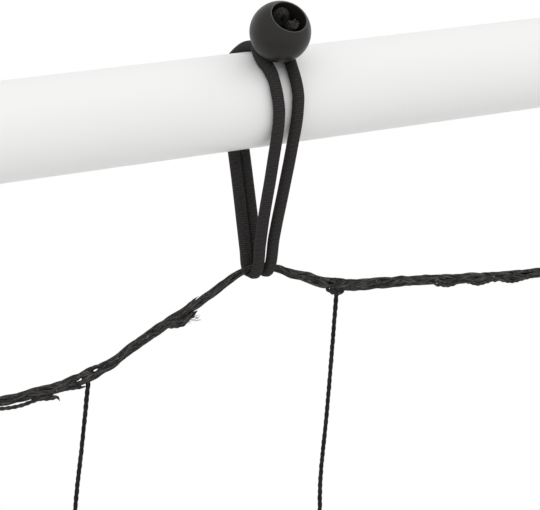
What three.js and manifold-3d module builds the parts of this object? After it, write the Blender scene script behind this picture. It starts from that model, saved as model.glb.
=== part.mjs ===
// A volleyball net on poles: a free-standing steel portal whose top rail carries a black square-mesh net on
// ball-ended elastic ties. The poles telescope, so the rail and the net slide down together.
// Millimetres, +Z up, +X along the rail, -Y towards the side that the balls of the ties face.
// The origin is on the ground, midway between the poles.
import * as THREE from "three";
import { mergeVertices } from "three/addons/utils/BufferGeometryUtils.js";
import Module from "manifold-3d";

const wasm = await Module();
wasm.setup();

// ---- Driving dimensions -------------------------------------------------------------------------------
const RAIL_HEIGHT = 2230; // axis of the top rail above the ground
const TUBE_R = 19; // 38 mm tube: rail, upper poles and foot bars
const WALL = 1.5;
const LOWER_R = 21; // 42 mm tube: lower poles
const BEND_R = 75; // centreline of the corner bend
const TUBE_SIDES = 18;
const TOUCH = 0.3; // gap between pieces that touch
const SLIDE = 0.5; // gap between pieces that slide

const SEAM_X = 1325; // where each corner tube meets the rail
const RAIL_BUTTON_X = 60; // past the seam in the middle of the rail, clear of the tie beside it
const SPIGOT = { r: 17, length: 90, taper: 2 }; // swaged end of a tube, inside its neighbour
const UPPER_POLE_END = 600; // lower end of an upper pole, inside the lower pole
const LOWER_POLE_TOP = 800;

const FOOT_LENGTH = 900;
const FOOT_AXIS = 22; // height of a foot bar's axis
const CAP = { r: 23, length: 50, floor: 9, round: 5 };
const SOCKET = { r: 24, bore: 21.5, top: 160 };
const GUSSET = { reach: 110, toe: 49, top: 130, thickness: 4 };

const BUTTON = { r: 4, flangeR: 6, flange: 2, proud: 4.5, inset: 25, holeR: 4.4 };
// The far leg of a button's leaf stands off the wall, so that the whole button can be pressed in.
const LEAF = { width: 7, thickness: 0.8, stand: 9, length: 38 };
const FOOT_BUTTON_Z = 120;

const MESH = 115; // side of one net mesh
const COLUMNS = 25;
const ROWS = 8;
const TWINE = 1.8;
const ROPE_R = 1.8;
const BILLOW = 6; // how far the slack net bellies backwards
const LEAN = -4; // how far the slack net hangs sideways

const CORD_R = 2.4;
const CORD_SIDES = 5;
const THIN_R = 2; // of the cord where it is squeezed, at the ball's neck
const BALL = {
  r: 12, seat: 34.2, angle: 29, side: -1.2, tilt: 42, mouthR: 7.2, cavityR: 6.9, holeR: 5, knotR: 5.9,
};
const TIE_REACH = 69.5; // from a tube's axis to the rope that the tie holds
const TIE_STEP = 4; // meshes between two ties on the rail
const TIE_OFFSET = 78; // from the net's last knot before a tie to the tie
const SIDE_TIE_DROPS = [155, 765]; // how far down the net's side ropes the poles' ties sit
const IN_TIE = 6; // half the straight stretch of a rope that a tie holds

const NET_HALF = (MESH * COLUMNS) / 2;
const NET_DROP = MESH * ROWS;
const POLE_X = NET_HALF + TIE_REACH; // of each pole's axis

// ---- Materials ----------------------------------------------------------------------------------------
const finish = (color, roughness, metalness) =>
  new THREE.MeshStandardMaterial({ color, roughness, metalness });
const whiteCoat = () => finish(0xf1f1ef, 0.35, 0);
const blackPlastic = () => finish(0x2e2c2a, 0.55, 0);
const elasticCord = () => finish(0x262423, 0.8, 0);
const netRope = () => finish(0x242322, 0.7, 0);
const zincSteel = () => finish(0xb5b8bb, 0.35, 1);

// ---- Solids and geometries ----------------------------------------------------------------------------
const vec = (x, y, z) => new THREE.Vector3(x, y, z);
const X_AXIS = vec(1, 0, 0);
const Y_AXIS = vec(0, 1, 0);
const Z_AXIS = vec(0, 0, 1);
const radians = THREE.MathUtils.degToRad;

function toSolid(geometry) {
  const bare = geometry.clone();
  bare.deleteAttribute("normal");
  bare.deleteAttribute("uv");
  const merged = mergeVertices(bare, 1e-4);
  const vertProperties = merged.attributes.position.array;
  const triVerts = new Uint32Array(merged.index.array);
  return new wasm.Manifold(new wasm.Mesh({ numProp: 3, vertProperties, triVerts }));
}

function toGeometry(solid) {
  const mesh = solid.getMesh();
  return new THREE.BufferGeometry()
    .setAttribute("position", new THREE.BufferAttribute(mesh.vertProperties, 3))
    .setIndex(new THREE.BufferAttribute(mesh.triVerts, 1));
}

const unite = (...geometries) => toGeometry(geometries.map(toSolid).reduce((a, b) => a.add(b)));
const cut = (body, ...tools) => toGeometry(tools.map(toSolid).reduce((a, b) => a.subtract(b), toSolid(body)));

// Rings across a path: an outline, sized by one radius or by one a point, turned as little as possible.
function ringsAlong(path, radii, outline, side) {
  const across = side.clone();
  return path.map((point, i) => {
    const before = path[Math.max(i - 1, 0)];
    const after = path[Math.min(i + 1, path.length - 1)];
    const tangent = after.clone().sub(before).normalize();
    across.addScaledVector(tangent, -across.dot(tangent)).normalize();
    const upward = tangent.clone().cross(across);
    const radius = Array.isArray(radii) ? radii[i] : radii;
    const reach = ([a, b]) => across.clone().multiplyScalar(a).addScaledVector(upward, b);
    return outline.map((corner) => reach(corner).multiplyScalar(radius).add(point));
  });
}

// A closed skin over rings that all have the same number of points.
function skin(rings) {
  const count = rings[0].length;
  const index = [];
  for (let i = 0; i + 1 < rings.length; i++) {
    for (let k = 0; k < count; k++) {
      const a = i * count + k;
      const b = i * count + ((k + 1) % count);
      index.push(a, b, b + count, a, b + count, a + count);
    }
  }
  const last = (rings.length - 1) * count;
  for (let k = 1; k + 1 < count; k++) {
    index.push(0, k + 1, k, last, last + k, last + k + 1);
  }
  return new THREE.BufferGeometry().setFromPoints(rings.flat()).setIndex(index);
}

function sweep(path, radii, sides, side) {
  const angle = (2 * Math.PI) / sides;
  const circle = Array.from({ length: sides }, (_, k) => [Math.cos(k * angle), Math.sin(k * angle)]);
  return skin(ringsAlong(path, radii, circle, side));
}

function strip(path, width, thickness, side) {
  const [w, t] = [width / 2, thickness / 2];
  return skin(ringsAlong(path, 1, [[-w, -t], [w, -t], [w, t], [-w, t]], side));
}

// A round tube, open at both ends: its outside less a bore that runs 1 mm past each end.
function tube(path, radii, side) {
  const bores = Array.isArray(radii) ? radii.map((r) => r - WALL) : radii - WALL;
  const past = (from, to) => to.clone().add(to.clone().sub(from).normalize());
  const n = path.length;
  const bore = [past(path[1], path[0]), ...path.slice(1, -1), past(path[n - 2], path[n - 1])];
  return cut(sweep(path, radii, TUBE_SIDES, side), sweep(bore, bores, TUBE_SIDES, side));
}

function rod(radius, from, to, sides = 16) {
  const axis = to.clone().sub(from);
  const turn = new THREE.Quaternion().setFromUnitVectors(Y_AXIS, axis.clone().normalize());
  const middle = from.clone().add(to).multiplyScalar(0.5);
  return new THREE.CylinderGeometry(radius, radius, axis.length(), sides)
    .applyQuaternion(turn)
    .translate(middle.x, middle.y, middle.z);
}

function block(x0, x1, y0, y1, z0, z1) {
  const box = new THREE.BoxGeometry(x1 - x0, y1 - y0, z1 - z0);
  return box.translate((x0 + x1) / 2, (y0 + y1) / 2, (z0 + z1) / 2);
}

// A turned shape about Z from [radius, height] points, listed so that its faces point out.
function turned(profile, segments) {
  const points = profile.map(([r, z]) => new THREE.Vector2(r, z));
  return new THREE.LatheGeometry(points, segments).rotateX(Math.PI / 2);
}

function piece(parent, name, geometry, material) {
  const mesh = new THREE.Mesh(geometry, material);
  mesh.name = name;
  parent.add(mesh);
  return mesh;
}

// ---- Base: foot bars, sockets, lower poles --------------------------------------------------------------
const FOOT_END = FOOT_LENGTH / 2;

function footBar() {
  const end = FOOT_END - CAP.floor - 1;
  return tube([vec(0, -end, FOOT_AXIS), vec(0, end, FOOT_AXIS)], TUBE_R, X_AXIS);
}

// A blind cap with a rounded nose towards +Y, its underside cut flat on the ground.
function footCap() {
  const bore = TUBE_R + 0.4;
  const mouth = FOOT_END - CAP.length;
  const floor = FOOT_END - CAP.floor;
  const wall = [[bore, mouth], [CAP.r, mouth], [CAP.r, FOOT_END - CAP.round], [CAP.r - CAP.round, FOOT_END]];
  const cap = turned([[0, floor], [bore, floor], ...wall, [0, FOOT_END]], TUBE_SIDES);
  const lying = cap.rotateX(-Math.PI / 2).translate(0, 0, FOOT_AXIS);
  return cut(lying, block(-CAP.r - 1, CAP.r + 1, 0, FOOT_END + 1, -CAP.r, 0));
}

// The upright sleeve welded on the foot bar, with a gusset plate before and behind it.
function poleSocket(outward) {
  const saddle = TUBE_R + TOUCH;
  const sleeve = sweep([vec(0, 0, FOOT_AXIS), vec(0, 0, SOCKET.top)], SOCKET.r, TUBE_SIDES, X_AXIS);
  const corners = [
    [GUSSET.reach, FOOT_AXIS], [GUSSET.reach, GUSSET.toe], [SOCKET.r, GUSSET.top],
    [-SOCKET.r, GUSSET.top], [-GUSSET.reach, GUSSET.toe], [-GUSSET.reach, FOOT_AXIS],
  ];
  const plate = new THREE.Shape(corners.map(([y, z]) => new THREE.Vector2(y, z)));
  const gussets = new THREE.ExtrudeGeometry(plate, { depth: GUSSET.thickness, bevelEnabled: false })
    .translate(0, 0, -GUSSET.thickness / 2)
    .rotateY(Math.PI / 2)
    .rotateX(Math.PI / 2);
  const y = GUSSET.reach + 10;
  return cut(
    unite(sleeve, gussets),
    sweep([vec(0, 0, 0), vec(0, 0, SOCKET.top + 10)], SOCKET.bore, TUBE_SIDES, X_AXIS),
    sweep([vec(0, -y, FOOT_AXIS), vec(0, y, FOOT_AXIS)], saddle, TUBE_SIDES, X_AXIS),
    footButtonHole(outward),
  );
}

const footButtonHole = (outward) =>
  rod(BUTTON.holeR, vec(0, 0, FOOT_BUTTON_Z), vec(outward * (SOCKET.r + 5), 0, FOOT_BUTTON_Z), 12);

function lowerPole(outward) {
  const bottom = FOOT_AXIS + TUBE_R + SLIDE;
  return cut(tube([vec(0, 0, bottom), vec(0, 0, LOWER_POLE_TOP)], LOWER_R, X_AXIS), footButtonHole(outward));
}

// ---- Lever clamp at the top of a lower pole: drawn for the left pole, with z = 0 at the lower pole's end -
const COLLAR = { r: 26.5, bore: 21.4, bottom: -42, lip: 12, slot: 2.5 };
const EAR = { x: 9, front: -44, back: -22, half: 13 };
const BOLT = { y: -36, z: -18, r: 3, holeR: 3.3, eyeR: 5.4, eyeHalf: 3.2, nutR: 8, nut: 9 };
const CAM = { x: -17.6, r: 8, half: 8, fork: 3.6, pinR: 2, pinHoleR: 2.4 };
const HANDLE = { height: 14, thickness: 4 };

const besideCam = (x, y, z) => vec(CAM.x + x, BOLT.y + y, BOLT.z + z);
const alongPin = (radius, half, sides = 16) =>
  rod(radius, besideCam(0, 0, -half), besideCam(0, 0, half), sides);
const alongBolt = (radius, x0, x1) => rod(radius, vec(x0, BOLT.y, BOLT.z), vec(x1, BOLT.y, BOLT.z), 12);

function clampCollar() {
  const { r, bore, bottom, lip, slot } = COLLAR;
  const throat = TUBE_R + SLIDE;
  const outside = [[bore, bottom], [r, bottom], [r, lip - 3], [r - 3, lip], [throat, lip]];
  const ring = turned([...outside, [throat, SLIDE], [bore, SLIDE], [bore, bottom]], TUBE_SIDES);
  const ears = block(-EAR.x, EAR.x, EAR.front, EAR.back, BOLT.z - EAR.half, BOLT.z + EAR.half);
  return cut(
    unite(ring, ears),
    rod(bore, vec(0, 0, bottom - 1), vec(0, 0, SLIDE), TUBE_SIDES),
    block(-slot / 2, slot / 2, EAR.front - 5, 0, bottom - 5, lip + 5),
    alongBolt(BOLT.holeR, -EAR.x - 5, EAR.x + 5),
  );
}

// The bolt through the ears: an eye for the cam's pin at one end, a round nut at the other.
function clampBolt() {
  const nutFace = EAR.x + TOUCH;
  const shank = alongBolt(BOLT.r, CAM.x, nutFace + 2);
  const nut = alongBolt(BOLT.nutR, nutFace, nutFace + BOLT.nut);
  return cut(unite(shank, nut, alongPin(BOLT.eyeR, BOLT.eyeHalf)), clampPin(CAM.pinHoleR));
}

const clampPin = (radius = CAM.pinR) => alongPin(radius, CAM.half + 1.5, 12);

function clampLever() {
  const route = [[-5, -1], [-9.5, 11], [-13.5, 25], [-14.8, 40], [-14, 56], [-16.5, 66]];
  const handle = strip(route.map(([x, y]) => besideCam(x, y, 0)), HANDLE.height, HANDLE.thickness, Z_AXIS);
  const lever = unite(alongPin(CAM.r, CAM.half), handle);
  return cut(lever, alongPin(CAM.r + 0.6, CAM.fork), clampPin(CAM.pinHoleR));
}

// ---- Upper frame: corner poles and the two-piece rail ----------------------------------------------------
// A tube along a route to a seam, where it has narrowed to the spigot that runs on towards +X or -X.
function swagedTube(route, seam, towards) {
  const past = (distance) => seam.clone().addScaledVector(X_AXIS, towards * distance);
  const path = [...route, past(-SPIGOT.taper), seam, past(SPIGOT.length)];
  const radii = path.map((_, i) => (i < path.length - 2 ? TUBE_R : SPIGOT.r));
  return tube(path, radii, Y_AXIS);
}

const onRail = (x) => vec(x, 0, RAIL_HEIGHT);
const railButtonHole = (x) => rod(BUTTON.holeR, onRail(x), vec(x, TUBE_R + 5, RAIL_HEIGHT), 12);
const CORNER_BUTTON_X = SEAM_X - BUTTON.inset;

function upperPole(outward) {
  const poleX = outward * POLE_X;
  const steps = 4;
  const bend = Array.from({ length: steps + 1 }, (_, i) => {
    const angle = (i * Math.PI) / (2 * steps);
    const x = poleX - outward * BEND_R * (1 - Math.cos(angle));
    return vec(x, 0, RAIL_HEIGHT - BEND_R * (1 - Math.sin(angle)));
  });
  const pole = swagedTube([vec(poleX, 0, UPPER_POLE_END), ...bend], onRail(outward * SEAM_X), -outward);
  return cut(pole, railButtonHole(outward * CORNER_BUTTON_X));
}

function railLeft() {
  const rail = swagedTube([onRail(-SEAM_X + TOUCH)], onRail(0), 1);
  return cut(rail, railButtonHole(-CORNER_BUTTON_X), railButtonHole(RAIL_BUTTON_X));
}

function railRight() {
  const rail = tube([onRail(TOUCH), onRail(SEAM_X - TOUCH)], TUBE_R, Y_AXIS);
  return cut(rail, railButtonHole(CORNER_BUTTON_X), railButtonHole(RAIL_BUTTON_X));
}

// ---- Snap buttons: a round-nosed button on a bent leaf, along +X from inside a bore through the walls ----
function snapButton(outerR, boreR) {
  const { r, flangeR, flange, proud } = BUTTON;
  const back = boreR - 2 - flange;
  const nose = outerR + proud;
  const foot = [[0, back], [flangeR, back], [flangeR, back + flange], [r, back + flange]];
  const button = turned([...foot, [r, nose - 2], [r - 1.6, nose - 0.5], [0, nose]], 10).rotateY(Math.PI / 2);
  const far = -boreR + LEAF.stand;
  const nearLeg = [[back, -6], [back, 6], [back - 2, 22], [2, LEAF.length]];
  const farLeg = [[-2, LEAF.length], [far, 20], [far, 4]];
  const path = [...nearLeg, ...farLeg].map(([x, z]) => vec(x, 0, z));
  return unite(button, strip(path, LEAF.width, LEAF.thickness, Y_AXIS));
}

// A button through a spigot and the rail round it, facing backwards, its leaf along the rail.
function addRailButton(parent, name, x) {
  const button = piece(parent, name, snapButton(TUBE_R, SPIGOT.r - WALL), zincSteel());
  button.position.copy(onRail(x));
  button.rotation.set(Math.PI / 2, Math.PI / 2, 0);
}

// ---- The net ---------------------------------------------------------------------------------------------
const FOOT_SHARE = 0.4; // how much of the head rope's sag the foot rope repeats
const FIRST_TIE = -NET_HALF + TIE_OFFSET;
const TIE_PERIOD = TIE_STEP * MESH;
const TOP_TIES = Math.floor(COLUMNS / TIE_STEP) + 1;
const tieXs = Array.from({ length: TOP_TIES }, (_, i) => FIRST_TIE + i * TIE_PERIOD);
// How far past a tie the upright twines are knotted to the head rope, which they slide on a little.
const KNOTS = [37, 161, 272, 382];
const knotXs = [-NET_HALF, ...tieXs.flatMap((x) => KNOTS.map((past) => x + past))]
  .filter((x) => x <= NET_HALF);

// Height of the head rope against the rail's axis, from one tie over the knots after it to the next tie.
const knotSag = KNOTS.map((past, i) => [past, [-82.5, -95.8, -108, -102][i]]);
const slackSag = [[344, -106], [370, -104]];
const tieSag = [0, IN_TIE, TIE_PERIOD - IN_TIE, TIE_PERIOD].map((x) => [x, -TIE_REACH]);
const headSag = [...tieSag, ...knotSag, ...slackSag].sort(([a], [b]) => a - b);
// How far the side ropes stand in from the net's full half-width, which they reach where ties hold them.
const sidePull = [[0, 0], [60, -14], [250, -15], [460, -20], [670, -15], [860, -14], [NET_DROP, 0]]
  .concat(SIDE_TIE_DROPS.flatMap((drop) => [[drop - IN_TIE, 0], [drop + IN_TIE, 0]]))
  .sort(([a], [b]) => a - b);

function readTable(table, x) {
  const i = Math.max(table.findIndex(([a]) => a >= x), 1);
  const [[a, p], [b, q]] = [table[i - 1], table[i]];
  return THREE.MathUtils.mapLinear(x, a, b, p, q);
}

const headHeight = (x) => readTable(headSag, THREE.MathUtils.euclideanModulo(x - FIRST_TIE, TIE_PERIOD));
const footHeight = (x) => -NET_DROP + THREE.MathUtils.lerp(-100, headHeight(x), FOOT_SHARE);
const halfWidth = (drop) => NET_HALF + readTable(sidePull, drop);

// Where a point of the flat net hangs: u sideways from its middle, drop down from its head.
function hang(u, drop) {
  const share = drop / NET_DROP;
  const slack = Math.sin(Math.PI * share) * (1 - (u / NET_HALF) ** 8);
  const x = (u * halfWidth(drop)) / NET_HALF + LEAN * slack;
  const height = THREE.MathUtils.lerp(headHeight(u), footHeight(u), share);
  return vec(x, BILLOW * slack, RAIL_HEIGHT + height);
}

// The twines inside the border ropes, square in section and one square knot wherever two cross: every twine
// runs on past its outermost knots to the border rope that it is tied to.
function hungNet() {
  const half = TWINE / 2;
  const end = ROPE_R + TOUCH;
  const points = [];
  const at = (u, drop, y) => hang(u, drop).add(vec(0, y, 0));
  const quad = (a, b, c, d) => points.push(a, b, c, a, c, d);
  const faces = (u0, u1, d0, d1) => {
    quad(at(u0, d1, -half), at(u1, d1, -half), at(u1, d0, -half), at(u0, d0, -half));
    quad(at(u0, d0, half), at(u1, d0, half), at(u1, d1, half), at(u0, d1, half));
  };
  const wall = (u0, d0, u1, d1) =>
    quad(at(u0, d0, -half), at(u0, d0, half), at(u1, d1, half), at(u1, d1, -half));
  const stretches = (marks) => marks.slice(1).map((mark, k) => [
    marks[k] + (k === 0 ? end : half),
    mark - (k === marks.length - 2 ? end : half),
  ]);
  const rowDrops = Array.from({ length: ROWS + 1 }, (_, k) => k * MESH);
  const rows = stretches(rowDrops);
  const columns = stretches(knotXs);
  const us = knotXs.slice(1, -1);
  const drops = rowDrops.slice(1, -1);
  for (const u of us) {
    for (const [d0, d1] of rows) {
      faces(u - half, u + half, d0, d1);
      wall(u - half, d0, u - half, d1);
      wall(u + half, d1, u + half, d0);
    }
    wall(u + half, end, u - half, end);
    wall(u - half, NET_DROP - end, u + half, NET_DROP - end);
  }
  for (const drop of drops) {
    for (const [u0, u1] of columns) {
      faces(u0, u1, drop - half, drop + half);
      wall(u1, drop - half, u0, drop - half);
      wall(u0, drop + half, u1, drop + half);
    }
    wall(end - NET_HALF, drop - half, end - NET_HALF, drop + half);
    wall(NET_HALF - end, drop + half, NET_HALF - end, drop - half);
    us.forEach((u) => faces(u - half, u + half, drop - half, drop + half));
  }
  return mergeVertices(new THREE.BufferGeometry().setFromPoints(points), 1e-4);
}

const rope = (points, side) => sweep(points, ROPE_R, CORD_SIDES, side);

function headRope() {
  const slackXs = tieXs.slice(0, -1).flatMap((x) => slackSag.map(([past]) => x + past));
  const xs = [...knotXs, ...slackXs, ...tieXs.flatMap((x) => [x - IN_TIE, x + IN_TIE])].sort((a, b) => a - b);
  return rope(xs.map((x) => onRail(x).addScaledVector(Z_AXIS, headHeight(x))), Z_AXIS);
}

const footRope = () => rope(knotXs.map((x) => onRail(x).addScaledVector(Z_AXIS, footHeight(x))), Z_AXIS);

function sideRope(sign) {
  const clear = 2 * ROPE_R + 1;
  const drops = [clear, ...sidePull.slice(1, -1).map(([drop]) => drop), NET_DROP - clear];
  return rope(drops.map((drop) => hang(sign * NET_HALF, drop)), X_AXIS);
}

// ---- Ball tie: drawn round a tube along X, with the rope that it holds below it --------------------------
// A point at an angle from +Z towards the front, at a distance from a centre on the Z axis.
const around = (degrees, distance, x = 0, centreZ = 0) =>
  vec(x, -distance * Math.sin(radians(degrees)), centreZ + distance * Math.cos(radians(degrees)));
const ballCentre = around(BALL.angle, BALL.seat, BALL.side);
const ballAxis = around(BALL.tilt, 1);
const inBall = (geometry) =>
  geometry.rotateX(radians(BALL.tilt)).translate(ballCentre.x, ballCentre.y, ballCentre.z);

// A ball with a round mouth in front, a cavity for the cord's knot and a narrow hole behind.
function tieBall() {
  const depth = (r) => Math.sqrt(BALL.r ** 2 - r ** 2);
  const from = Math.PI - Math.asin(BALL.holeR / BALL.r);
  const to = Math.asin(BALL.mouthR / BALL.r);
  const steps = 5;
  const angles = Array.from({ length: steps + 1 }, (_, i) => THREE.MathUtils.lerp(from, to, i / steps));
  const outside = angles.map((a) => [BALL.r * Math.sin(a), BALL.r * Math.cos(a)]);
  const inside = [[BALL.cavityR, depth(BALL.mouthR) - 1], [BALL.cavityR, -3], [BALL.holeR, -6]];
  return inBall(turned([...outside, ...inside, [BALL.holeR, -depth(BALL.holeR)]], 10));
}

// Half of the elastic loop: from the knot in the ball, back over the tube and down behind it, round under the
// rope and up the front, to the bight that passes over the ball's neck. The cord is thin at both ends.
function halfLoop(side) {
  const inNeck = (distance) =>
    ballCentre.clone().addScaledVector(ballAxis, -distance).add(vec(side * 2.1, 0, 0));
  const onTube = TUBE_R + CORD_R + 1.2;
  const underRope = ROPE_R + CORD_R + 0.6;
  const tangent = 90 + THREE.MathUtils.radToDeg(Math.asin((onTube - underRope) / TIE_REACH));
  const pair = side * 2.65; // the two strands lie side by side over the back
  const behind = [[12, 21.7, BALL.side + side * 2.3], [-8, 21.9, side * 2.4]];
  const back = [-40, -72, -tangent].map((a) => around(a, onTube, pair));
  const loop = [-tangent, -142, 180, 142, tangent].map((a) => around(a, underRope, pair, -TIE_REACH));
  const front = [[tangent, 4.1], [78, 4.7], [54, 5.2]].map(([a, x]) => around(a, onTube, side * x));
  const bight = [[36, 21.5, 7], [20, 22.2, 7.8], [9, 24.2, 6.2], [5, 25.8, 3.2]];
  return {
    neck: [inNeck(2), inNeck(9), ...behind.map(([a, r, x]) => around(a, r, x))],
    drop: [...back, ...loop, ...front],
    bight: bight.map(([a, r, x]) => around(a, r, side * x)),
  };
}

function tieCord() {
  const [right, left] = [halfLoop(1), halfLoop(-1)];
  const bight = [...right.bight, around(4.5, 26.2), ...left.bight.reverse()];
  const runs = [right.neck, right.drop, bight, left.drop.reverse(), left.neck.reverse()];
  const radii = runs.flatMap((run, i) => run.map(() => (i % 2 ? CORD_R : THIN_R)));
  const knot = inBall(new THREE.SphereGeometry(BALL.knotR, 6, 5));
  return unite(sweep(runs.flat(), radii, CORD_SIDES, X_AXIS), knot);
}

function addTie(parent, suffix, position, turnY) {
  const tie = new THREE.Group();
  tie.position.copy(position);
  tie.rotation.y = turnY;
  parent.add(tie);
  piece(tie, `tie_ball_${suffix}`, tieBall(), blackPlastic());
  piece(tie, `tie_cord_${suffix}`, tieCord(), elasticCord());
}

// ---- Assembly --------------------------------------------------------------------------------------------
const assembly = new THREE.Group();

for (const [name, outward] of [["left", -1], ["right", 1]]) {
  const base = new THREE.Group();
  base.position.x = outward * POLE_X;
  assembly.add(base);
  piece(base, `foot_bar_${name}`, footBar(), whiteCoat());
  piece(base, `foot_cap_${name}_back`, footCap(), blackPlastic());
  piece(base, `foot_cap_${name}_front`, footCap(), blackPlastic()).rotation.z = Math.PI;
  piece(base, `pole_socket_${name}`, poleSocket(outward), whiteCoat());
  piece(base, `lower_pole_${name}`, lowerPole(outward), whiteCoat());
  const footSnap = snapButton(SOCKET.r, LOWER_R - WALL);
  const footButton = piece(base, `snap_button_foot_${name}`, footSnap, zincSteel());
  footButton.position.z = FOOT_BUTTON_Z;
  footButton.rotation.z = outward > 0 ? 0 : Math.PI;

  const clamp = new THREE.Group();
  clamp.position.z = LOWER_POLE_TOP;
  clamp.scale.x = -outward;
  base.add(clamp);
  piece(clamp, `clamp_collar_${name}`, clampCollar(), blackPlastic());
  piece(clamp, `clamp_bolt_${name}`, clampBolt(), zincSteel());
  piece(clamp, `clamp_pin_${name}`, clampPin(), zincSteel());
  piece(clamp, `clamp_lever_${name}`, clampLever(), blackPlastic());

  piece(assembly, `upper_pole_${name}`, upperPole(outward), whiteCoat());
  addRailButton(assembly, `snap_button_corner_${name}`, outward * CORNER_BUTTON_X);
  piece(assembly, `side_rope_${name}`, sideRope(outward), netRope());
  SIDE_TIE_DROPS.forEach((drop, i) => {
    const place = vec(outward * POLE_X, 0, hang(outward * NET_HALF, drop).z);
    addTie(assembly, `${name}_${i + 1}`, place, (outward * Math.PI) / 2);
  });
}

piece(assembly, "top_rail_left", railLeft(), whiteCoat());
piece(assembly, "top_rail_right", railRight(), whiteCoat());
addRailButton(assembly, "snap_button_rail", RAIL_BUTTON_X);
piece(assembly, "net", hungNet(), netRope());
piece(assembly, "head_rope", headRope(), netRope());
piece(assembly, "foot_rope", footRope(), netRope());
tieXs.forEach((x, i) => addTie(assembly, `top_${i + 1}`, onRail(x), 0));

export default assembly;
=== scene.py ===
"""A volleyball net on poles: white tubes, lever clamps, ball ties, ropes and a knotted net.

In metres, +Z up and +X along the rail. The routes of cords, ropes and twines are drawn in millimetres."""

import math

import bpy
import numpy as np
from mathutils import Matrix, Vector


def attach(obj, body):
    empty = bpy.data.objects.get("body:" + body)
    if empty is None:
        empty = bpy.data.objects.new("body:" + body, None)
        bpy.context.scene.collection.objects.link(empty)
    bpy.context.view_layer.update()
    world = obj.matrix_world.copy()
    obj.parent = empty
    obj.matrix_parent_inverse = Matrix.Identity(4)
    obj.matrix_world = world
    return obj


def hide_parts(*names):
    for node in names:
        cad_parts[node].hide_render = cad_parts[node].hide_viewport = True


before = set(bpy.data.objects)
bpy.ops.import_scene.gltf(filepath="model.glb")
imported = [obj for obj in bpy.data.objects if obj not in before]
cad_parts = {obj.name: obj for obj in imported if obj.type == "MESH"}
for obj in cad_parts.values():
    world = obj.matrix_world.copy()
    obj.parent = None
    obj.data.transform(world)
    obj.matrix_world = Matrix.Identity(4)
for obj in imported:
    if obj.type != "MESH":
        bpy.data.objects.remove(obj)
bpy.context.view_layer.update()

# ---- Sizes, the same as in the part ----
RAIL_Z = 2.230
TUBE_R, LOWER_R, WALL = 0.019, 0.021, 0.0015
BEND_R = 0.075
SEAM_X, SPIGOT_R, SPIGOT_LENGTH = 1.325, 0.017, 0.090
CORNER_BUTTON_X, RAIL_BUTTON_X, FOOT_BUTTON_Z = 1.300, 0.060, 0.120
BUTTON_HOLE_R = 0.0044
POLE_X, POLE_FOOT_Z, SLEEVE_TOP_Z = 1.507, 0.600, 0.800
FOOT_Z, FOOT_HALF = 0.022, 0.450
SOCKET_R, SOCKET_BORE, SOCKET_TOP_Z = 0.024, 0.0215, 0.160
NET_HALF, NET_DROP, MESH_SIDE, COLUMNS, ROWS = 1.4375, 0.920, 0.115, 25, 8
TIE_STEP = 0.460
TIE_XS = [-1.3595 + TIE_STEP * i for i in range(7)]
SIDE_TIE_DROPS = (0.155, 0.765)
PHOTO_TIE_X = TIE_XS[4]
SIDES = {"left": -1, "right": 1}
MM = 0.001

# ---- Camera and light ----
LENS, SENSOR = 156.27, 36
EYE_FROM_TIE = (-0.4794, -0.7705, 0.2073)
PAN, TILT, ROLL = -32.19, -16.68, 0.61
BRIGHT_WAY, DIM, BRIGHT = (-0.15, -0.52, 0.84), 0.47, 0.99
SUN_STRENGTH, SUN_SPREAD, SUN_LEAN, SUN_ROLL = 0.42, 60, 36, -10


def turn(degrees, axis):
    return Matrix.Rotation(math.radians(degrees), 4, axis)


def aim_camera():
    """The photograph's view: one tie, from a little above it through a long lens, 32 degrees off square."""
    lens = bpy.data.cameras.new("photo_camera")
    lens.sensor_width = SENSOR
    lens.lens = LENS
    lens.clip_start = 0.05
    camera = bpy.data.objects.new("photo_camera", lens)
    bpy.context.scene.collection.objects.link(camera)
    x, y, z = EYE_FROM_TIE
    stand = Matrix.Translation((PHOTO_TIE_X + x, y, RAIL_Z + z))
    camera.matrix_world = stand @ turn(PAN, "Z") @ turn(90 + TILT, "X") @ turn(ROLL, "Z")
    bpy.context.scene.camera = camera


def put(tree, kind, inputs=None, **settings):
    """A node of a kind, with its settings, and its inputs given as values or as other nodes' outputs."""
    node = tree.nodes.new("ShaderNode" + kind)
    for name, value in settings.items():
        setattr(node, name, value)
    for name, value in (inputs or {}).items():
        if isinstance(value, bpy.types.NodeSocket):
            tree.links.new(value, node.inputs[name])
        else:
            node.inputs[name].default_value = value
    return node


def maths(tree, operation, *values):
    return put(tree, "Math", dict(enumerate(values)), operation=operation).outputs[0]


def light_room():
    """Soft white light from all round, more of it from above and in front; the background stays white."""
    world = bpy.data.worlds.new("white_room")
    bpy.context.scene.world = world
    world.use_nodes = True
    tree = world.node_tree
    tree.nodes.clear()
    ray = put(tree, "LightPath").outputs
    seen = maths(tree, "MAXIMUM", ray["Is Camera Ray"], ray["Is Glossy Ray"])
    seen = maths(tree, "MAXIMUM", seen, ray["Is Transmission Ray"])
    way = put(tree, "TexCoord").outputs["Generated"]
    towards = put(tree, "VectorMath", {0: way, 1: BRIGHT_WAY}, operation="DOT_PRODUCT").outputs["Value"]
    level = spread(tree, towards, DIM, BRIGHT, -1, 1)
    room = put(tree, "Background", {"Color": (1, 1, 1, 1), "Strength": level})
    white = put(tree, "Background", {"Color": (1, 1, 1, 1), "Strength": 1})
    choice = put(tree, "MixShader", {0: seen, 1: room.outputs[0], 2: white.outputs[0]})
    put(tree, "OutputWorld", {"Surface": choice.outputs[0]})
    sun = bpy.data.lights.new("soft_top_light", "SUN")
    sun.energy = SUN_STRENGTH
    sun.angle = math.radians(SUN_SPREAD)
    lamp = bpy.data.objects.new("soft_top_light", sun)
    bpy.context.scene.collection.objects.link(lamp)
    lamp.matrix_world = turn(SUN_LEAN, "X") @ turn(SUN_ROLL, "Y")


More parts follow.
